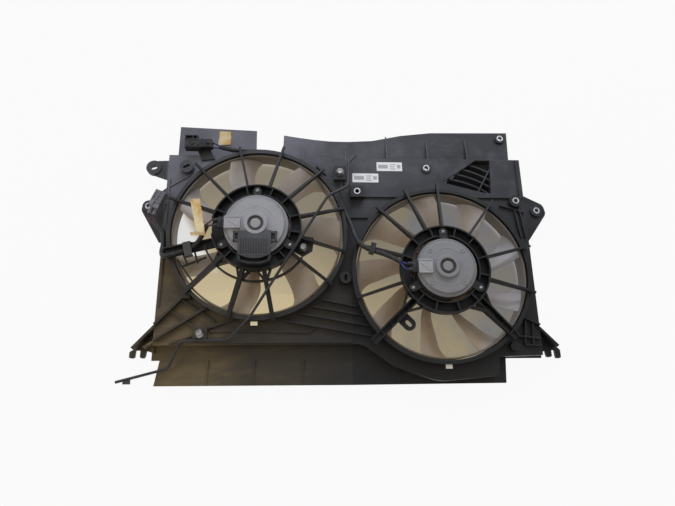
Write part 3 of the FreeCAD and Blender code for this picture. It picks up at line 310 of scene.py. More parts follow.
def metal(name, colour, rough, dirt=0.4, dark=(0.05, 0.04, 0.03), bores=()):
    """Bare or plated metal with dirt in its low places and painted shade inside its bores."""
    f = Finish(name)
    darkening = f.noise(180, 5, 0.7).between(0.45, 0.72) * dirt
    # Painted shade: the inside of each bore is darkened as if shaded.
    for x, z, _, _ in bores:
        darkening = darkening.bigger((1 - f.reach(x * MM, z * MM).between(0.0034, 0.0039)) * 0.92)
    fine = f.noise(1800, 2)
    base = f.mix(darkening, colour, dark)
    normal = f.bump(fine, 0.00003, 0.5, f.rounded(0.0004))
    return f.end(f.shade({"Base Color": base, "Metallic": (1 - darkening).clamped(), "Normal": normal,
                          "Roughness": (rough + 0.3 * darkening + 0.08 * fine).clamped()}))


def rubbery(name, colour, rough=0.6, dust=0.3, grain=900):
    """Small dull plastic, rubber or tape parts with a little dust."""
    f = Finish(name)
    cloud = f.noise(120, 5, 0.7).between(0.45, 0.7) * dust
    base = f.mix(cloud, colour, (0.13, 0.11, 0.08))
    base = f.mix(f.edge(0.0006) * 0.3, base, tuple(min(1, value * 2.2 + 0.02) for value in colour))
    normal = f.bump(f.noise(grain, 3), 0.00006, 0.6, f.rounded(0.0004))
    rough = (rough + 0.25 * cloud).clamped()
    return f.end(f.shade({"Base Color": base, "Roughness": rough, "Normal": normal}))


LABELS = [(0.055, 0.103, 0.1368, 0.1548), (0.009, 0.0575, 0.1132, 0.1312)]
LABEL_BARS = [(0.06, 0.44, 0.28, 0.72), (0.52, 0.74, 0.66, 0.78), (0.52, 0.70, 0.42, 0.54),
              (0.52, 0.74, 0.18, 0.30), (0.80, 0.94, 0.30, 0.72)]


def label_paper():
    """White stickers that carry only plain grey bars and one block."""
    f = Finish("label_paper")
    x, z = f.axis("X"), f.axis("Z")
    ink = None
    for x0, x1, z0, z1 in LABELS:
        wide, tall = x1 - x0, z1 - z0
        for u0, u1, v0, v1 in LABEL_BARS:
            left, right = x0 + u0 * wide, x0 + u1 * wide
            low, high = z0 + v0 * tall, z0 + v1 * tall
            inside = x.sum("GREATER_THAN", left) * x.sum("LESS_THAN", right)
            inside = inside * z.sum("GREATER_THAN", low) * z.sum("LESS_THAN", high)
            ink = inside if ink is None else ink.bigger(inside)
    smudge = f.noise(90, 4).between(0.5, 0.75) * 0.25
    base = f.mix(ink * 0.62, (0.97, 0.97, 0.99), (0.16, 0.16, 0.17))
    base = f.mix(smudge, base, (0.45, 0.42, 0.36))
    return f.end(f.shade({"Base Color": base, "Roughness": 0.45 + 0.2 * smudge,
                          "Normal": f.bump(f.noise(1400, 2), 0.00002, 0.3)}))


def tape(name):
    """Aged masking tape: amber where the glue shows through, cream and fibrous at its edges."""
    f = Finish(name)
    fibre = f.noise(420, 6, 0.7, (1, 1, 0.25))
    amber = f.noise(48, 3, distortion=0.4).between(0.34, 0.66)
    base = f.mix(amber, (0.94, 0.82, 0.52), (0.80, 0.50, 0.12))
    base = f.mix(fibre.between(0.5, 0.8) * 0.45, base, (0.95, 0.86, 0.64))
    normal = f.bump(fibre + 0.5 * f.noise(130, 3), 0.0003, 0.6)
    surface = f.shade({"Base Color": base, "Roughness": 0.40 + 0.3 * fibre, "Normal": normal})
    through = f.make("BsdfTranslucent", None, {"Color": base})
    return f.end(f.make("MixShader", None, {0: 0.25, 1: surface, 2: through}))


def make_finishes(colours):
    """Every material of the fan, by name."""
    return {
        "shroud": moulding("shroud_plastic", colours.moulding, 1.0, 0.85),
        # The right half of the shroud: the same plastic drawn darker as painted shade, with less dust and
        # sheen.
        "right_shroud": moulding("right_shroud_shaded_plastic", dimmed(colours.moulding, 0.7), 0.3, 0.8),
        "stay": moulding("stay_plastic", dimmed(colours.moulding, 0.55), 0.22, 0.12),
        "cap": painted_cap("cap_paint", colours.cap, "right"),
        "left_cap": painted_cap("left_cap_paint", dimmed(colours.cap, 1.38), "left"),
        "left_fan": milky("left_fan_plastic", colours.fan, colours.fan_stain, "left"),
        "right_fan": milky("right_fan_plastic", colours.fan, colours.fan_stain, "right"),
        "case": metal("case_steel", (0.16, 0.155, 0.15), 0.45, 0.6),
        "bracket": rubbery("bracket_paint", (0.012, 0.012, 0.012), 0.45, 0.2),
        "bolt": metal("plated_steel", (0.50, 0.49, 0.46), 0.30, 0.5),
        "screw": metal("screw_zinc", (0.62, 0.62, 0.62), 0.34, 0.5),
        "sleeve": metal("sleeve_aluminium", (0.72, 0.72, 0.73), 0.32, 0.35, bores=SLEEVES.values()),
        "magnet": rubbery("magnet_ferrite", (0.035, 0.035, 0.038), 0.55, 0.1),
        "bush": metal("bush_bronze", (0.60, 0.38, 0.18), 0.4, 0.3),
        "holder": rubbery("holder_phenolic", (0.16, 0.07, 0.03), 0.5, 0.1),
        "carbon": rubbery("brush_carbon", (0.02, 0.02, 0.02), 0.7, 0.0),
        "plug": rubbery("plug_plastic", (0.018, 0.018, 0.020), 0.42, 0.25),
        "core": metal("core_iron", (0.25, 0.24, 0.24), 0.5, 0.4),
        "copper": metal("commutator_copper", (0.78, 0.36, 0.20), 0.35, 0.3),
        "sleeve_tape": rubbery("lead_tape", (0.013, 0.013, 0.014), 0.5, 0.3, 600),
        "wire_red": rubbery("wire_red", (0.065, 0.010, 0.010), 0.42, 0.2),
        "wire_brown": rubbery("wire_brown", (0.10, 0.028, 0.020), 0.42, 0.2),
        "wire_blue": rubbery("wire_blue", (0.012, 0.035, 0.20), 0.42, 0.15),
        "wire_grey": rubbery("wire_grey", (0.22, 0.22, 0.24), 0.45, 0.15),
        "wire_beige": rubbery("wire_beige", (0.42, 0.34, 0.24), 0.45, 0.15),
        "seal": rubbery("connector_seal", (0.21, 0.21, 0.24), 0.5, 0.2),
        "socket": painted_cap("socket_moulding", dimmed(colours.cap, 1.5)),
        "controller": painted_cap("controller_paint", colours.controller),
        "connector": rubbery("connector_grey", (0.165, 0.165, 0.185), 0.42, 0.3),
        "strap": rubbery("strap_plastic", (0.062, 0.062, 0.060), 0.35, 0.35),
        "label": label_paper(),
        "tape": tape("aged_tape"),
        "rod": rubbery("rod_paint", (0.030, 0.030, 0.032), 0.42, 0.3),
    }


WORN_BY = {
    "shroud": "shroud", "right_shroud": "right_shroud", "stay": "motor_stay", "case": "motor_case",
    "cap": "motor_cap motor_socket", "bracket": "motor_bracket", "magnet": "magnets",
    "holder": "brush_holder", "bush": "fan_side_bush cap_side_bush", "carbon": "brushes", "core": "armature",
    "bolt": "motor_screws shaft fan_nut panel_bolts stay_bolt", "left_fan": "left_fan",
    "right_fan": "right_fan", "copper": "commutator", "sleeve_tape": "lead", "wire_red": "wires",
    "strap": "lead_strap", "controller": "left_controller", "label": "blank_labels",
    "plug": "motor_plug right_lead_strap controller_cup top_connector top_plug", "seal": "ear_plug",
    "sleeve": "left_ear_sleeve right_ear_sleeve right_boss_sleeve upper_flap_sleeve upper_panel_sleeve "
              "block_insert",
    "tape": "tape_patch tape_strip", "connector": "ear_connector", "rod": "bent_rod",
}
NODE_FINISH = {node: finish for finish, nodes in WORN_BY.items() for node in nodes.split()}
FINISHES = {}


def finish_of(node):
    """The material name for a node: its own entry, or the one for both sides."""
    return NODE_FINISH.get(node) or NODE_FINISH[node.split("_", 1)[1]]


def paint(obj, finish):
    obj.data.materials.clear()
    obj.data.materials.append(FINISHES[finish])


# Shapes

MOTOR = {"left": {"case": 52.0, "blades": 7, "start": 107.4},
         "right": {"case": 48.5, "blades": 9, "start": 94.4}}
CENTRE = {side: (x / MM, z / MM) for side, (x, z) in AXIS.items()}


def eased(outline, radius, steps=5):
    """A closed outline with its corners rounded. A corner may state its own radius as a third number."""
    points = []
    count = len(outline)
    for index, corner in enumerate(outline):
        here = Vector(corner[:2])
        before = Vector(outline[index - 1][:2]) - here
        after = Vector(outline[(index + 1) % count][:2]) - here
        reach = corner[2] if len(corner) > 2 else radius
        half = before.angle(after, math.pi) / 2
        back = min(reach / max(math.tan(half), 0.05), 0.45 * before.length, 0.45 * after.length)
        if back < 1e-4 or here.x < 1e-6:
            points.append(tuple(here))
            continue
        first, last = here + before.normalized() * back, here + after.normalized() * back
        for step in range(steps + 1):
            t = step / steps
            points.append(tuple(first * (1 - t) ** 2 + here * 2 * t * (1 - t) + last * t ** 2))
    return points


def skin(mesh, rings):
    """Close a bmesh over rings of its vertices, with one face at each end."""
    for first, second in zip(rings, rings[1:]):
        for index in range(len(first)):
            mesh.faces.new((first[index - 1], first[index], second[index], second[index - 1]))
    mesh.faces.new(rings[0])
    mesh.faces.new(rings[-1])
    bmesh.ops.recalc_face_normals(mesh, faces=mesh.faces)
    return mesh


def lathe(outline, round_by, centre=(0, 0), steps=32):
    """A bmesh turned from a closed outline of (radius, depth), eased, about an axis along the depth."""
    mesh = bmesh.new()
    rings = []
    for radius, depth in eased(outline, round_by):
        around = [polar(radius, 360 * step / steps) for step in range(steps if radius > 1e-6 else 1)]
        rings.append([mesh.verts.new(at(centre[0] + x, centre[1] + z, depth)) for x, z in around])
    for first, second in zip(rings, rings[1:] + rings[:1]):
        if len(first) == len(second) == 1:
            continue
        for step in range(steps):
            corners = [first[step % len(first)], first[(step + 1) % steps % len(first)],
                       second[(step + 1) % steps % len(second)], second[step % len(second)]]
            mesh.faces.new(list(dict.fromkeys(corners)))
    bmesh.ops.recalc_face_normals(mesh, faces=mesh.faces)
    return mesh


def slab(outline, back, front, round_by, centre):
    """A bmesh of a flat block over an outline of (x, z), with all its edges rounded."""
    mesh = bmesh.new()
    skin(mesh, [[mesh.verts.new(at(centre[0] + x, centre[1] + z, depth)) for x, z in outline]
                for depth in (back, front)])
    sharp = [edge for edge in mesh.edges if edge.calc_face_angle(0) > 0.6]
    bmesh.ops.bevel(mesh, geom=sharp, offset=round_by * MM, segments=3, profile=0.5, affect="EDGES",
                    clamp_overlap=True)
    return mesh


def bricks(rows, centre=(0, 0)):
    """Blocks from rows of (x0, x1, z0, z1, back, front, rounding)."""
    return [slab([(min(x0, x1), z0), (max(x0, x1), z0), (max(x0, x1), z1), (min(x0, x1), z1)], *rest, centre)
            for x0, x1, z0, z1, *rest in rows]


def moved(mesh, turn, shift, axis="Y"):
    """Turn a bmesh about an axis, clockwise from the front for Y, and then shift it by (x, z, depth)."""
    turning = Matrix.Rotation(math.radians(turn), 3, axis)
    bmesh.ops.rotate(mesh, cent=(0, 0, 0), matrix=turning, verts=mesh.verts)
    bmesh.ops.translate(mesh, vec=at(*shift), verts=mesh.verts)
    return mesh


def linked(name, data):
    """A new object in the scene."""
    obj = bpy.data.objects.new(name, data)
    bpy.context.scene.collection.objects.link(obj)
    return obj


def plain_mesh(obj):
    """The mesh that an object's curve or modifiers make."""
    bpy.context.view_layer.update()
    depsgraph = bpy.context.evaluated_depsgraph_get()
    return bpy.data.meshes.new_from_object(obj.evaluated_get(depsgraph))


def gathered(name, parts):
    """One mesh from several bmeshes or meshes, which are used up."""
    whole = bmesh.new()
    for part in parts:
        piece = part
        if isinstance(part, bmesh.types.BMesh):
            piece = bpy.data.meshes.new("part")
            part.to_mesh(piece)
            part.free()
        whole.from_mesh(piece)
        bpy.data.meshes.remove(piece)
    mesh = bpy.data.meshes.new(name)
    whole.to_mesh(mesh)
    whole.free()
    return mesh


def add_piece(name, parts, finish, replaced=(), body="frame", crease=38):
    """Put parts in the scene as one piece of a body, with its finish."""
    mesh = gathered(name, parts)
    obj = linked(name, mesh)
    mesh.shade_smooth()
    mesh.set_sharp_from_angle(angle=math.radians(crease))
    paint(obj, finish)
    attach(obj, body)
    if replaced:
        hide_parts(*replaced)
    return obj


# Repeats

REPEAT_INPUTS = {"Geometry": "Geometry", "Template": "Object", "First turn": "Float", "Turn": "Float",
                 "Spread": "Float", "Seed": "Int", "Finish": "Material"}


def repeat_tree():
    """Node tree that sets a template on every point of a mesh and turns it about the depth axis."""
    if "fan_repeat" in bpy.data.node_groups:
        return bpy.data.node_groups["fan_repeat"]
    tree = bpy.data.node_groups.new("fan_repeat", "GeometryNodeTree")
    for name, kind in REPEAT_INPUTS.items():
        tree.interface.new_socket(name, in_out="INPUT", socket_type=f"NodeSocket{kind}")
    tree.interface.new_socket("Geometry", in_out="OUTPUT", socket_type="NodeSocketGeometry")
    f = Nodes(tree)
    dots, template, first, turn, spread, seed, finish = (f.make("NodeGroupInput", out=name)
                                                         for name in REPEAT_INPUTS)
    shape = f.make("GeometryNodeObjectInfo", {"transform_space": "ORIGINAL"}, {"Object": template}, "Geometry")
    chance = f.make("FunctionNodeRandomValue", {"data_type": "FLOAT"}, {"Seed": seed}, 1)
    angle = f.make("GeometryNodeInputIndex") * turn + first + chance * spread
    values = {"Points": dots, "Instance": shape, "Rotation": f.make("CombineXYZ", None, {"Y": angle})}
    placed = f.make("GeometryNodeInstanceOnPoints", None, values)
    real = f.make("GeometryNodeRealizeInstances", None, {"Geometry": placed})
    finished = f.make("GeometryNodeSetMaterial", None, {"Geometry": real, "Material": finish})
    f.make("NodeGroupOutput", None, {"Geometry": finished})
    return tree


def repeated(name, parts, points, finish, first=0.0, turn=0.0, spread=0.0, seed=1):
    """The mesh of parts set on points of (x, z, depth), with turns in degrees as seen from the front."""
    dots = bpy.data.meshes.new(f"{name}_places")
    dots.from_pydata([at(*point) for point in points], [], [])
    pattern = linked(f"{name}_template", gathered(f"{name}_template", parts))
    carrier = linked(f"{name}_places", dots)
    modifier = carrier.modifiers.new("repeat", "NODES")
    modifier.node_group = repeat_tree()
    values = {"Template": pattern, "First turn": -math.radians(first), "Turn": -math.radians(turn),
              "Spread": math.radians(spread), "Seed": seed, "Finish": FINISHES[finish]}
    for item in modifier.node_group.interface.items_tree:
        if item.in_out == "INPUT" and item.name in values:
            modifier[item.identifier] = values[item.name]
    mesh = plain_mesh(carrier)
    mesh.name = name
    carrier.modifiers.remove(modifier)
    for data in (pattern.data, dots):
        bpy.data.meshes.remove(data)
    return mesh


def round_axis(side, count, radius=0, first=0):
    """Points of (x, z, depth) on a ring round a fan's axis."""
    ring = (polar(radius, first + 360 * n / count) for n in range(count))
    return [(CENTRE[side][0] + x, CENTRE[side][1] + z, 0) for x, z in ring]


# Fan wheels

BLADE_X = (56, 78, 104, 125, 134, 141, 152)
LEAD_EDGE = {"left": (-6, -12.5, -20, -29, -38, -54, -70), "right": (-2, 3, 16, 27, 37, 53, 68)}
TRAIL_EDGE = {"left": (13, 16.5, 22.5, 19, 15, 12, 9), "right": (-17, -19, -15, -11.5, -9.5, -7.5, -5)}
BLADE_BACK, BLADE_FRONT = 12, 38
BLADE_CAMBER = 3.5
BLADE_ROWS, CHORD_STEPS, SOLVING_STEPS = 34, 14, 14
BLADE_CHORD = 26
HUB_RADIUS, BAND_RADIUS = 61.4, 147.2
HUB_RIBS = 9


def between_stations(values, reach):
    """A value at a reach along the blade, on a smooth curve through its stations."""
    last = len(BLADE_X) - 1
    span = max(i for i in range(last) if i == 0 or BLADE_X[i] <= reach)
    width = BLADE_X[span + 1] - BLADE_X[span]
    t = (reach - BLADE_X[span]) / width

    def slope(i):
        low, high = max(i - 1, 0), min(i + 1, last)
        return (values[high] - values[low]) / (BLADE_X[high] - BLADE_X[low])

    rise = 3 * t ** 2 - 2 * t ** 3
    bend = (t ** 3 - 2 * t ** 2 + t) * slope(span) + (t ** 3 - t ** 2) * slope(span + 1)
    return (1 - rise) * values[span] + rise * values[span + 1] + bend * width


def blade_point(side, reach, along, across, thick):
    """(depth, z) of a point of the blade's skin: along its chord from 0 to 1, across from -1 to 1."""
    first = Vector((BLADE_BACK, between_stations(LEAD_EDGE[side], reach)))
    last = Vector((BLADE_FRONT, between_stations(TRAIL_EDGE[side], reach)))
    chord = (last - first).normalized()
    bulge = Vector((abs(chord.y), -chord.x * math.copysign(1, chord.y)))
    t = min(max(along, 0), 1)
    half = (0.6 + 0.75 * 4 * t * (1 - t)) * thick
    tip = (along - t) * BLADE_CHORD
    return first.lerp(last, t) + bulge * (BLADE_CAMBER * 4 * t * (1 - t) + across * half) + chord * tip


def blade(side):
    """One blade as a bmesh, thicker where it meets the hub and the band."""
    chord = [step / CHORD_STEPS for step in range(CHORD_STEPS + 1)]
    loop = [(t, 1.0) for t in chord] + [(1.018, 0.55), (1.018, -0.55)]
    loop += [(1 - t, -1.0) for t in chord] + [(-0.018, -0.55), (-0.018, 0.55)]
    mesh = bmesh.new()
    rings = []
    for row in range(BLADE_ROWS + 1):
        radius = HUB_RADIUS + (BAND_RADIUS - HUB_RADIUS) * row / BLADE_ROWS
        thick = 1 + 1.5 * (math.exp((HUB_RADIUS - radius) / 1.6) + math.exp((radius - BAND_RADIUS) / 1.6))
        ring = []
        for along, across in loop:
            reach = radius
            for _ in range(SOLVING_STEPS):
                depth, z = blade_point(side, reach, along, across, thick)
                reach = math.sqrt(max(radius ** 2 - z ** 2, 1))
            ring.append(mesh.verts.new(at(reach, z, depth)))
        rings.append(ring)
    return skin(mesh, rings)


def fan_wheel(side):
    """The hub cup with inner ribs, the swept blades and the outer band."""
    motor, centre, finish = MOTOR[side], CENTRE[side], f"{side}_fan"
    hub = [(4.1, 6), (62, 6, 4), (62, 40, 1.1), (59.5, 40, 1.1), (59.5, 8.5, 3), (11, 8.5, 2), (9, 16.4, 0.8),
           (4.1, 16.4, 0.3)]
    band = [(146.5, 10, 1), (149, 10, 1), (149, 38.5, 0.4), (149.8, 38.5, 0.5), (149.8, 41, 1),
            (146.5, 41, 1.2)]
    count = motor["blades"]
    blades = repeated(f"{side}_blades", [blade(side)], round_axis(side, count), finish, motor["start"],
                      360 / count)
    ribs = repeated(f"{side}_hub_ribs", bricks([(12, 58.5, -0.9, 0.9, 7.5, 15, 0.4)]),
                    round_axis(side, HUB_RIBS), finish, 10, 360 / HUB_RIBS)
    parts = [blades, ribs, lathe(hub, 0.5, centre, 128), lathe(band, 0.5, centre, 192)]
    add_piece(f"{side}_fan_wheel", parts, finish, (f"{side}_fan",), f"{side}_rotor")


# Motors

STAKES_REACH, SCREWS_REACH = 39.5, 66.5
ON_CAP = 80.05


def motor_cap(side):
    """The grey cap, drawn in one turn with its inside, and the marks of its staking."""
    case, centre = MOTOR[side]["case"], CENTRE[side]
    rim, face = case + 2.9, case - 3.1
    outline = [(0, 85), (8.7, 85, 1.2), (8.7, 80.6, 0.8), (13.4, 80.6, 0.8), (13.4, 86, 1.2), (20, 86, 1.6),
               (20, 80, 1.3), (face, 80, 2.4), (face, 76, 1.0), (rim, 76, 1.5), (rim, 72, 0.7),
               (case - 2, 72, 0.3), (case - 2, 74, 0.5), (face - 3, 74, 0.5), (face - 3, 77.5, 1),
               (7, 77.5, 0.3), (7, 83, 0.3), (0, 83)]
    ring = [(31.2, 79.7), (32.0, 80.25, 0.3), (33.0, 80.25, 0.3), (33.8, 79.7)]
    parts = [lathe(outline, 0.5, centre, 160), lathe(ring, 0.2, centre, 128)]
    if side == "right":
        dish = [(0, 79.9), (0, 80.25), (1.9, 80.3, 0.3), (2.7, 81.2, 0.3), (3.7, 81.1, 0.4), (4.1, 79.9)]
        spots = round_axis(side, 4, STAKES_REACH, 45)
        parts.append(repeated("stake_marks", [lathe(dish, 0.2, steps=28)], spots, "cap"))
    finish = "left_cap" if side == "left" else "cap"
    add_piece(f"{side}_cap", parts, finish, (f"{side}_motor_cap",))


SOCKETS = {"left": (-53, 13, -9.5), "right": (-49.5, 12.3, -12.3)}


def motor_socket(side):
    """The moulded block on the cap's side: a raised frame, a diagonal ridge and a stepped tail."""
    centre = CENTRE[side]
    x, high, low = SOCKETS[side]
    middle = (high + low) / 2
    parts = [slab([(x, low + 1), (x + 2, low), (-25.5, low), (-25.5, high), (x + 2, high), (x, high - 1)],
                  80.02, 84.6, 0.7, centre)]
    parts += bricks([(x - 0.5, x + 2.4, low + 1, high - 1, 76.5, 83, 0.6),
                     (x + 1.2, -27, high - 3.0, high - 0.6, 84.2, 85.5, 0.4),
                     (x + 1.2, -27, low + 0.6, low + 3.0, 84.2, 85.5, 0.4)], centre)
    run = [(x + 3, middle + 5.2), (x + 6, middle + 5.6), (-28.5, low + 4.4), (-31, low + 3.6)]
    parts.append(slab(run, 84.2, 85.4, 0.4, centre))
    tail = bricks([(x - 4, x, low + 1.4, high - 1.4, 76.5, 83.4, 0.6)], centre)
    add_piece(f"{side}_socket_tail", tail, "plug")
    add_piece(f"{side}_socket_block", parts, "socket", (f"{side}_motor_socket",))


def motor_plug(side):
    """The lead's plug with two round barrels, their seals and a latch."""
    centre = CENTRE[side]
    x, high, low = SOCKETS[side]
    x -= 4
    middle = (high + low) / 2
    parts = bricks([(x - 6, x, low + 2, high - 2, 76.5, 84, 0.8),
                    (x - 4.6, x - 0.8, middle - 4.4, middle + 4.4, 83.5, 85.2, 0.5)], centre)
    for offset in (-5, 5):
        barrel = lathe([(0, 0), (3.6, 0, 0.6), (3.6, 2.6, 0.3), (3.2, 3.0, 0.2), (3.6, 3.4, 0.3), (3.6, 6, 0.3),
                        (3.0, 6.4, 0.3), (3.0, 9, 0.5), (0, 9)], 0.3)
        parts.append(moved(barrel, -90, (centre[0] + x - 5, centre[1] + middle + offset, 80), "Z"))
    add_piece(f"{side}_lead_plug", parts, "plug", (f"{side}_motor_plug",))


def motor_screws(side):
    """Pan-head screws with a cross recess, turned at random."""
    head = [(0, 69.5), (1.1, 69.6, 0.2), (1.3, 70.3, 0.2), (2.0, 70.2, 0.8), (2.6, 69.0, 0.5), (3.1, 68.6, 0.2),
            (3.1, 68.05, 0.2), (2, 68.05), (2, 57), (0, 57)]
    parts = [lathe(head, 0.2), *bricks([(-1.7, 1.7, -0.4, 0.4, 69.9, 70.36, 0.1),
                                        (-0.4, 0.4, -1.7, 1.7, 69.9, 70.34, 0.1)])]
    mesh = repeated(f"{side}_screws", parts, round_axis(side, 3, SCREWS_REACH, 90), "screw", spread=90, seed=3)
    add_piece(f"{side}_screws", [mesh], "screw", (f"{side}_motor_screws",))


def controller():
    """The finned controller on the left cap, with side tabs that have dark square windows."""
    centre = CENTRE["left"]
    arch = [polar(20.9, angle) for angle in range(-42, -139, -6)]
    outline = [(27, -13), (27, -54), (25, -56), (12, -61), (6, -62), (-6, -62), (-12, -61), (-26, -56),
               (-28, -54), (-28, -13), (-16.5, -13)] + arch[::-1] + [(16.5, -13)]
    fin = bricks([(-0.8, 0.8, -54, -26.5, 86.0, 88.9, 0.45)])
    spots = [(centre[0] - 24.2 + 4.2 * n, centre[1], 0) for n in range(12)]
    rows = [(inner * sign, 36.5 * sign, low, high, ON_CAP, 85, 0.7) for sign in (-1, 1)
            for inner, low, high in ((27, -33, -28.5), (27, -18.5, -14), (33.5, -33, -14))]
    rows += [(-22, 22, -57.6, -55.4, 86.0, 87.4, 0.5), (-27, 26, -55.3, -45, 71, 81, 0.6)]
    parts = [repeated("controller_fins", fin, spots, "controller"), slab(outline, ON_CAP, 86.6, 0.9, centre),
             *bricks(rows, centre)]
    add_piece("controller_box", parts, "controller", ("left_controller",))
    windows = bricks([(28 * sign, 33.6 * sign, -28.4, -18.6, ON_CAP, 82.2, 0.3) for sign in (-1, 1)], centre)
    add_piece("controller_windows", windows, "plug")


# Fasteners

SLEEVES = {
    "left_ear_sleeve": (-364.6, 70.3, 0, 12), "right_ear_sleeve": (359.8, 67, 0, 11),
    "right_boss_sleeve": (311, 76, 22.5, 37), "upper_flap_sleeve": (306, 221, 0, 8),
    "upper_panel_sleeve": (148.4, 142.6, 22.5, 33), "block_insert": (15.8, 89.8, 27, 43),
}


def sleeve(name):
    """A metal sleeve with a chamfered bore."""
    x, z, back, front = SLEEVES[name]
    outline = [(3.25, back, 0.1), (6.5, back, 0.3), (6.5, front - 0.9, 0.3), (5.9, front, 0.35),
               (4.3, front, 0.25), (3.25, front - 1.0, 0.25)]
    add_piece(f"{name}_ring", [lathe(outline, 0.2, (x, z), 48)], "sleeve", (name,))


def flange_bolt(reach):
    """A hexagon head with a domed chamfer and a dished top on its flange, seat at depth 0."""
    head = lathe([(0, 5.9), (3.0, 5.9, 0.3), (3.4, 7, 0.4), (4.6, 7, 0.6), (5.9, 5.9, 0.3), (8.5, 1.2, 2.0),
                  (8.5, 0, 0.4), (3, 0), (3, -reach), (0, -reach)], 0.3, steps=48)
    for vertex in head.verts:
        depth = -vertex.co.y / MM
        radius = math.hypot(vertex.co.x, vertex.co.z) / MM
        if depth > 1.7 and radius > 4.0:
            turn = math.degrees(math.atan2(vertex.co.z, vertex.co.x)) % 60 - 30
            flat = 5.0 / math.cos(math.radians(turn))
            share = min(radius, flat) / radius
            vertex.co.x *= share
            vertex.co.z *= share
    return head


def flange_bolts():
    x, z = CENTRE["left"]
    for name, reach, spots, seed, node in (
            ("panel_bolt_heads", 14, [(-14.6, 129.5, 36), (-253, -166.8, 34)], 5, "panel_bolts"),
            ("stay_bolt_head", 10, [(x + 80, z - 34.6, 58)], 2, "stay_bolt")):
        heads = repeated(name, [flange_bolt(reach)], spots, "bolt", spread=60, seed=seed)
        add_piece(name, [heads], "bolt", (node,), crease=30)


# Wiring

LEFT_LEAD = [
    (-343, 29.5, 33), (-335, 20, 33), (-328, 11, 33.5), (-325.5, -3, 34.5), (-325, -15, 36), (-325, -27, 42),
    (-321, -37, 50), (-313, -38, 54.5), (-304, -35.5, 54.5), (-290, -31.5, 54.5), (-279, -28, 54.5),
    (-269, -22.5, 55.5), (-261, -15.5, 58), (-254, -6.5, 63), (-248, 3, 71), (-243.5, 9, 77),
]
RIGHT_LEAD = [
    (-237.5, 181, 32), (-226, 177.2, 33), (-215, 174.3, 34.3), (-200, 171.9, 34.5), (-178, 171.2, 34.5),
    (-150, 171.0, 34.5), (-120, 165.7, 34.5), (-81.4, 149.7, 34.5), (-48.2, 124.3, 34.5), (-22.8, 91.1, 34.5),
    (-11, 65.8, 34.8), (-3, 41, 38), (4, 21, 46), (6.5, 8, 52), (9.5, -4, 56.5), (15, -14, 58.8),
    (22, -21, 59.2), (34, -28.4, 59.8), (46, -32.2, 62), (59.8, -37.8, 64.5), (71, -44.5, 69),
    (79.5, -51.5, 75.4), (84, -56, 78),
]
WIRE_RADIUS = 1.3
TAPE_PITCH, RIB_PITCH = 15.0, 2.6
WIRES = {
    "left_wires": [
        ("wire_red", [(-355.2, 47.4, 34), (-356.2, 40, 34), (-353, 33.5, 33.5), (-344.2, 28.2, 33)]),
        ("wire_beige", [(-347.3, 44.3, 34), (-347.4, 38, 34), (-345, 34, 33.5), (-341.8, 30.8, 33)]),
        ("wire_brown", [(-232.5, 7.75, 80), (-236, 7.8, 80), (-241.5, 7.9, 77.6)]),
        ("wire_red", [(-232.5, 17.75, 80), (-236, 17.2, 80.2), (-240, 13.6, 79.5), (-243.2, 11.2, 77.4)]),
    ],
    "right_wires": [
        ("wire_blue", [(-250.4, 188, 33), (-246, 187, 33), (-241, 184, 32.4), (-236.8, 182.6, 32)]),
        ("wire_grey", [(-250.4, 180, 31), (-246, 179.4, 31), (-242, 179.2, 31.6), (-237.8, 179.4, 32)]),
        ("wire_blue", [(94, -58.5, 80), (90, -58.5, 80), (84.6, -55, 78.4)]),
        ("wire_brown", [(94, -68.5, 80), (89.5, -67, 80), (86.5, -62, 79.2), (82.8, -57.2, 77.8)]),
    ],
}


def along_route(route, step):
    """Points in metres, evenly spaced along a NURBS curve over a route of (x, z, depth)."""
    data = bpy.data.curves.new("route", "CURVE")
    data.dimensions = "3D"
    spline = data.splines.new("NURBS")
    spline.points.add(len(route) - 1)
    for point, place in zip(spline.points, route):
        point.co = (*at(*place), 1)
    spline.order_u = 3
    spline.use_endpoint_u = True
    spline.resolution_u = 16
    mesh = plain_mesh(linked("route", data))
    found = [vertex.co.copy() for vertex in mesh.vertices]
    bpy.data.curves.remove(data)
    bpy.data.meshes.remove(mesh)
    places = [0.0]
    for first, second in zip(found, found[1:]):
        places.append(places[-1] + (second - first).length)
    count = max(4, round(places[-1] / (step * MM)))
    points = []
    span = 0
    for index in range(count + 1):
        wanted = places[-1] * index / count
        while span < len(places) - 2 and places[span + 1] < wanted:
            span += 1
        share = (wanted - places[span]) / max(places[span + 1] - places[span], 1e-9)
        points.append(found[span].lerp(found[span + 1], share))
    return points


def tube(points, radius_at, sides=20):
    """A bmesh swept along points; radius_at gives millimetres for a length in millimetres and an angle."""
    mesh = bmesh.new()
    side = (points[1] - points[0]).normalized().orthogonal().normalized()
    rings = []
    length = 0.0
    for index, point in enumerate(points):
        ahead = (points[min(index + 1, len(points) - 1)] - points[max(index - 1, 0)]).normalized()
        side = (side - ahead * side.dot(ahead)).normalized()
        other = ahead.cross(side)
        if index:
            length += (point - points[index - 1]).length / MM
        ring = []
        for step in range(sides):
            angle = 2 * math.pi * step / sides
            way = side * math.cos(angle) + other * math.sin(angle)
            ring.append(mesh.verts.new(point + way * radius_at(length, angle) * MM))
        rings.append(ring)
    return skin(mesh, rings)


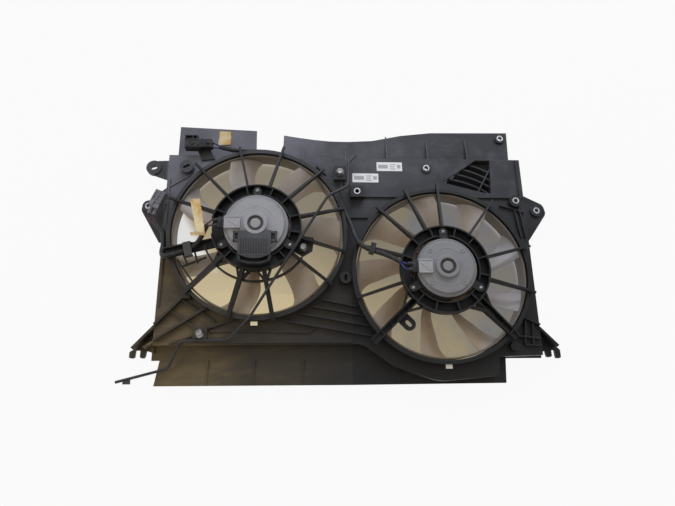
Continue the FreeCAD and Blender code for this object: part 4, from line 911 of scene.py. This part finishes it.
def taped(seed, corrugated):
    """Radius of a sleeve: ribbed conduit over the stretches named, and overlapping turns of tape elsewhere."""
    def radius_at(length, angle):
        if any(low <= length <= high for low, high in corrugated):
            return 4.05 + 0.22 * math.sin(2 * math.pi * length / RIB_PITCH)
        turn = (length / TAPE_PITCH + angle / (2 * math.pi)) % 1
        across, along = math.cos(angle), math.sin(angle)
        cloud = noise.noise(Vector((length * 0.09, across * 0.9 + seed, along * 0.9)))
        crease = noise.noise(Vector((length * 0.5, across * 2 + seed, along * 2)))
        return 4.0 + 0.20 * (1 - turn) + 0.16 * cloud + 0.10 * crease
    return radius_at


def lead(side):
    route, ribbed = {"left": (LEFT_LEAD, [(0, 62)]), "right": (RIGHT_LEAD, [(34, 120)])}[side]
    parts = [tube(along_route(route, 0.65), taped(len(route), ribbed), 28)]
    add_piece(f"{side}_lead_sleeve", parts, "sleeve_tape", (f"{side}_lead",), crease=60)


def wires(name):
    """Thin wires, each in its colour, as one piece."""
    colours = list(dict.fromkeys(finish for finish, _ in WIRES[name]))
    parts = []
    for finish, route in WIRES[name]:
        part = tube(along_route(route, 0.9), lambda length, angle: WIRE_RADIUS, 12)
        for face in part.faces:
            face.material_index = colours.index(finish)
        parts.append(part)
    obj = add_piece(f"{name}_bundle", parts, colours[0], (name,))
    for finish in colours[1:]:
        obj.data.materials.append(FINISHES[finish])


TAPE_THICKNESS = 0.25


def ribbon(rows, seed, fray=0.8):
    """A bmesh of a thin strip. Each row is (x, z, depth, width, turn of its width in degrees, curl)."""
    mesh = bmesh.new()
    columns = 18
    rings = []
    for index, (x, z, depth, width, turn, curl) in enumerate(rows):
        lines = ([], [])
        for column in range(columns + 1):
            u = 2 * column / columns - 1
            rag = noise.noise(Vector((index * 0.9, seed, column * 0.02))) * fray * abs(u) ** 6
            dx, dz = polar(u * (width / 2) + rag * math.copysign(1, u), turn)
            wrinkle = 0.35 * noise.noise(Vector((x * 0.12, z * 0.12, seed + column * 0.08)))
            for line, lift in zip(lines, (0, TAPE_THICKNESS)):
                line.append(mesh.verts.new(at(x + dx, z + dz, depth + curl * u * u + wrinkle + lift)))
        rings.append(lines[0] + lines[1][::-1])
    return skin(mesh, rings)


def rows_between(stations, count):
    """Rows of a ribbon, evenly spaced between its stations."""
    rows = []
    spans = len(stations) - 1
    for index in range(count + 1):
        place = spans * index / count
        low = min(int(place), spans - 1)
        t = place - low
        rows.append(tuple(a + (b - a) * t for a, b in zip(stations[low], stations[low + 1])))
    return rows


def tapes():
    """The folded patch on the upper flap and the strip that hangs down to the left lead."""
    patch = rows_between([(-234, 201, 3.4, 22, 2, 0.1), (-233.7, 216, 3.3, 22.6, 0, 0.2),
                          (-234.4, 230, 3.4, 21.4, -2, 0.3)], 22)
    fold = rows_between([(-235, 200.6, 4.2, 22.4, 3, 0.2), (-235, 207, 4.0, 22.8, 1, 0.1),
                         (-234.6, 213, 4.1, 21.8, -1, 0.5)], 12)
    strip = rows_between([(-268.5, 61.5, 66.8, 16, 4, -1.0), (-266.8, 52, 67.6, 16.4, 6, -0.6),
                          (-264.0, 40, 68.2, 16, 9, 0.4), (-261.0, 28, 68.8, 15, 10, 1.2),
                          (-258.0, 16, 71.6, 14.5, 8, 1.4), (-255.0, 6, 76.8, 14, 4, 1.0),
                          (-252.6, -3, 77.6, 13, -4, 0.6), (-251.6, -8, 74.6, 12, -8, 0.2)], 56)
    loose = rows_between([(-256.0, -5, 74.0, 7, 40, 0.5), (-262.0, -4.5, 73.0, 8, 62, 0.9),
                          (-267.5, -5.5, 73.2, 6.5, 80, 0.4), (-271.0, -4.5, 73.8, 4, 96, 0.2)], 20)
    for name, parts in (("tape_patch", [ribbon(patch, 2.0), ribbon(fold, 7.0)]),
                        ("tape_strip", [ribbon(strip, 4.0, 1.8), ribbon(loose, 9.0, 2.4)])):
        add_piece(f"{name}_sheet", parts, "tape", (name,), crease=70)


# Connectors

EAR_TILT = 22
EAR_PLACE = (-342, 68, 0)


def connector_details():
    """Latches, ribs and seals that stand on the connectors' solids."""
    ribs = bricks([(-7, 6, 9, 10.4, 42.8, 43.7, 0.3), (-7, 6, 15, 16.4, 42.8, 43.7, 0.3),
                   (-1.8, 0.8, 2, 17, 42.8, 44.2, 0.4), (-9, -7.4, -2.6, 18.6, 42.8, 43.8, 0.3),
                   (6.6, 8.2, -2.6, 18.6, 42.8, 43.8, 0.3)])
    seals = []
    for x in (-4.5, 4):
        for low in (-23.6, -20.8, -18.0):
            ring = [(2.9, low, 0.2), (3.75, low, 0.5), (3.75, low + 1.7, 0.5), (2.9, low + 1.7, 0.2)]
            seals.append(moved(lathe(ring, 0.2, steps=28), -90, (x, 0, 34), "X"))
    for name, parts, finish in (("ear_connector_ribs", ribs, "connector"), ("ear_plug_seals", seals, "seal")):
        add_piece(name, [moved(part, EAR_TILT, EAR_PLACE) for part in parts], finish)
    rows = [(-298, -273, 175, 176.2, 43.8, 44.7, 0.3), (-298, -273, 188.4, 189.6, 43.8, 44.7, 0.3),
            (-290, -282, 179.5, 185, 43.8, 45.2, 0.5), (-276.4, -273.6, 177, 188, 43.8, 44.9, 0.4)]
    rows += [(-268 + 4 * n, -266.6 + 4 * n, 177, 191, 41.8, 42.8, 0.3) for n in range(4)]
    rows.append((-262, -254, 181.5, 186.5, 41.8, 44.0, 0.6))
    add_piece("top_connector_ribs", bricks(rows), "plug")


# Stage

def light(name, place, target, size, energy, colour):
    """A soft rectangular lamp that faces a target."""
    data = bpy.data.lights.new(name, "AREA")
    data.shape = "RECTANGLE"
    data.size, data.size_y = size
    data.energy = energy
    data.color = colour
    turn = (Vector(target) - Vector(place)).to_track_quat("-Z", "Y").to_matrix().to_4x4()
    linked(name, data).matrix_world = Matrix.Translation(place) @ turn


def make_camera():
    data = bpy.data.cameras.new("camera")
    data.sensor_width = SENSOR_WIDTH
    data.lens = PHOTO_FOCAL / PHOTO_WIDTH * SENSOR_WIDTH
    camera = linked("camera", data)
    turn = (Matrix.Rotation(-CAMERA_YAW, 4, "Z") @ Matrix.Rotation(math.pi / 2 + CAMERA_PITCH, 4, "X")
            @ Matrix.Rotation(CAMERA_ROLL, 4, "Z"))
    camera.matrix_world = Matrix.Translation(CAMERA_PLACE) @ turn
    bpy.context.scene.camera = camera


SKY_STRENGTH = 0.75


def make_world():
    """A sky that is cool above and warm below, and white where the camera sees it."""
    world = bpy.data.worlds.new("studio")
    bpy.context.scene.world = world
    world.use_nodes = True
    f = Nodes(world.node_tree)
    height = f.make("SeparateXYZ", None, {0: f.make("TexCoord", out="Generated")}, "Z") * 0.5 + 0.5
    sky = f.make("ValToRGB", {"stops": [(0.35, (0.46, 0.42, 0.36)), (0.80, (0.74, 0.78, 0.88))]}, {0: height})
    soft = f.make("Background", None, {"Color": sky, "Strength": SKY_STRENGTH})
    white = f.make("Background", None, {"Color": (1, 1, 1, 1)})
    seen = f.make("LightPath", out="Is Camera Ray")
    f.make("OutputWorld", None, {"Surface": f.make("MixShader", None, {0: seen, 1: soft, 2: white})})


FLOOR_PLACE = 0.012
FLOOR_REACH = 4.0
LOUVRE_SHADOWS = [(0.193, 0.136, 0.011), (0.209, 0.146, 0.011), (0.222, 0.153, 0.011)]


def make_floor(colour):
    """The pale floor that the fan lies on, on its radiator side, with painted shade and a painted glow where it
    shows through the fans. It can be seen through from behind.
    """
    mesh = bpy.data.meshes.new("floor")
    r, y = FLOOR_REACH, FLOOR_PLACE
    mesh.from_pydata([(-r, y, -r), (r, y, -r), (r, y, r), (-r, y, r)], [], [(0, 1, 2, 3)])
    floor = linked("floor", mesh)
    f = Finish("floor_paint")
    x, z = f.axis("X"), f.axis("Z")
    near_left, near_right = (1 - f.reach(*AXIS[side]).between(0.150, 0.175) for side in SIDES)
    inside = near_left.bigger(near_right)
    # Painted light and shade on the floor seen through the fans: lighter low down and at the left, darker and
    # greyer at the right.
    low = 1 - (z + 0.35 * x).between(-0.20, 0.04)
    lit = (0.25 + 0.75 * low) * (1 - x.between(-0.22, 0.16) * 0.62)
    tone = f.mix(lit, dimmed(colour, 0.36), colour)
    seam = 1 - (z + 0.02 * x).between(-0.093, -0.090)
    tone = f.mix(seam * (1 - x.between(-0.10, 0.0)) * 0.35, tone, (0.86, 0.70, 0.42))
    cool = (x.between(0.02, 0.26) * 0.5 + (z + 0.3 * x).between(-0.08, 0.06) * 0.35
            + (f.noise(13, 4) - 0.5) * 2.4 * x.between(0.0, 0.1)).clamped()
    tone = f.mix(cool, tone, (0.235, 0.235, 0.245))
    edge = (1 - (x + 0.6 * z).between(-0.278, -0.255)) * z.between(-0.055, -0.030)
    tone = f.mix(edge, tone, (1, 1, 1))
    shade = f.mix(inside, (0.97, 0.97, 0.97), tone)
    for spot_x, spot_z, reach in LOUVRE_SHADOWS:
        dark = 1 - f.reach(spot_x, spot_z).between(reach * 0.8, reach)
        shade = f.mix(dark * 0.93, shade, (0.02, 0.02, 0.022))
    matt = f.make("BsdfDiffuse", None, {"Color": shade})
    # Painted glow: the floor emits part of its own colour, more inside the fan openings.
    painted_glow = f.make("Emission", None, {"Color": shade})
    surface = f.make("MixShader", None, {0: 0.96 - inside * 0.28, 1: matt, 2: painted_glow})
    clear = f.make("BsdfTransparent")
    hidden = f.make("NewGeometry", out="Backfacing")
    for ray in ("Is Shadow Ray", "Is Diffuse Ray"):
        hidden = hidden.bigger(f.make("LightPath", out=ray))
    mesh.materials.append(f.end(f.make("MixShader", None, {0: hidden, 1: surface, 2: clear})))


def colour_setting(name, description, default):
    return bpy.props.FloatVectorProperty(name=name, description=description, subtype="COLOR", default=default,
                                         min=0, max=1)


class FanColours(bpy.types.PropertyGroup):
    """Colours of the parts that show most."""

    moulding: colour_setting("Moulding", "Black plastic of the shroud and the stays", (0.0125, 0.0125, 0.0135))
    cap: colour_setting("Motor cap", "Grey paint of the motor caps", (0.270, 0.270, 0.282))
    controller: colour_setting("Controller", "Dark grey paint of the controller", (0.066, 0.066, 0.073))
    fan: colour_setting("Fan plastic", "Milky plastic of the fan wheels", (0.66, 0.625, 0.61))
    fan_stain: colour_setting("Fan stain", "Colour that dust has given the fan plastic", (0.56, 0.42, 0.24))
    floor: colour_setting("Floor", "Pale floor that shows between the blades", (0.76, 0.64, 0.41))


class MakeStage(bpy.types.Operator):
    """Set up the camera, the lamps, the world and the floor"""

    bl_idname = "cooling_fan.stage"
    bl_label = "Stage"

    def execute(self, context):
        make_camera()
        make_world()
        make_floor(tuple(context.scene.fan_colours.floor))
        light("window", (0.5, -1.5, 2.0), (0, 0, 0), (2.2, 1.2), 26, (0.86, 0.92, 1.0))
        light("fill", (-1.8, -1.6, -0.2), (-0.1, 0, -0.1), (1.4, 1.4), 9, (1.0, 0.93, 0.84))
        light("rear", (0.4, 2.4, 1.2), (0, 0, 0), (2.0, 1.6), 16, (0.95, 0.97, 1.0))
        context.scene.view_settings.view_transform = "Standard"
        return {"FINISHED"}


class FinishNodes(bpy.types.Operator):
    """Give each solid of the model its finish"""

    bl_idname = "cooling_fan.finish_nodes"
    bl_label = "Finishes"

    def execute(self, context):
        FINISHES.update(make_finishes(context.scene.fan_colours))
        for name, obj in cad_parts.items():
            paint(obj, finish_of(name))
        return {"FINISHED"}


class FanWheels(bpy.types.Operator):
    """Make both fan wheels with their hubs, swept blades and bands"""

    bl_idname = "cooling_fan.wheels"
    bl_label = "Fan wheels"

    def execute(self, context):
        for side in SIDES:
            fan_wheel(side)
        return {"FINISHED"}


class Motors(bpy.types.Operator):
    """Make the motor caps, sockets, plugs and screws, and the left motor's controller"""

    bl_idname = "cooling_fan.motors"
    bl_label = "Motors"

    def execute(self, context):
        for side in SIDES:
            motor_cap(side)
            motor_socket(side)
            motor_plug(side)
            motor_screws(side)
        controller()
        return {"FINISHED"}


class Fasteners(bpy.types.Operator):
    """Make the metal sleeves and the flange bolts"""

    bl_idname = "cooling_fan.fasteners"
    bl_label = "Fasteners"

    def execute(self, context):
        for name in SLEEVES:
            sleeve(name)
        flange_bolts()
        return {"FINISHED"}


class Wiring(bpy.types.Operator):
    """Make the leads, their wires, the tape and the details of the connectors"""

    bl_idname = "cooling_fan.wiring"
    bl_label = "Wiring"

    def execute(self, context):
        for side in SIDES:
            lead(side)
        for name in WIRES:
            wires(name)
        tapes()
        connector_details()
        return {"FINISHED"}


class CoolingFanPanel(bpy.types.Panel):
    """Lists the steps that dress the fan"""

    bl_idname = "VIEW3D_PT_cooling_fan"
    bl_label = "Cooling fan"
    bl_space_type = "VIEW_3D"
    bl_region_type = "UI"
    bl_category = "Cooling fan"

    def draw(self, context):
        for step in STEPS:
            self.layout.operator(step.bl_idname)


STEPS = (MakeStage, FinishNodes, FanWheels, Motors, Fasteners, Wiring)
CLASSES = (FanColours, *STEPS, CoolingFanPanel)


def register():
    for item in CLASSES:
        bpy.utils.register_class(item)
    bpy.types.Scene.fan_colours = bpy.props.PointerProperty(type=FanColours)


def unregister():
    del bpy.types.Scene.fan_colours
    for item in reversed(CLASSES):
        bpy.utils.unregister_class(item)


def main():
    register()
    for step in STEPS:
        group, name = step.bl_idname.split(".")
        getattr(getattr(bpy.ops, group), name)()


if __name__ == "__main__":
    main()
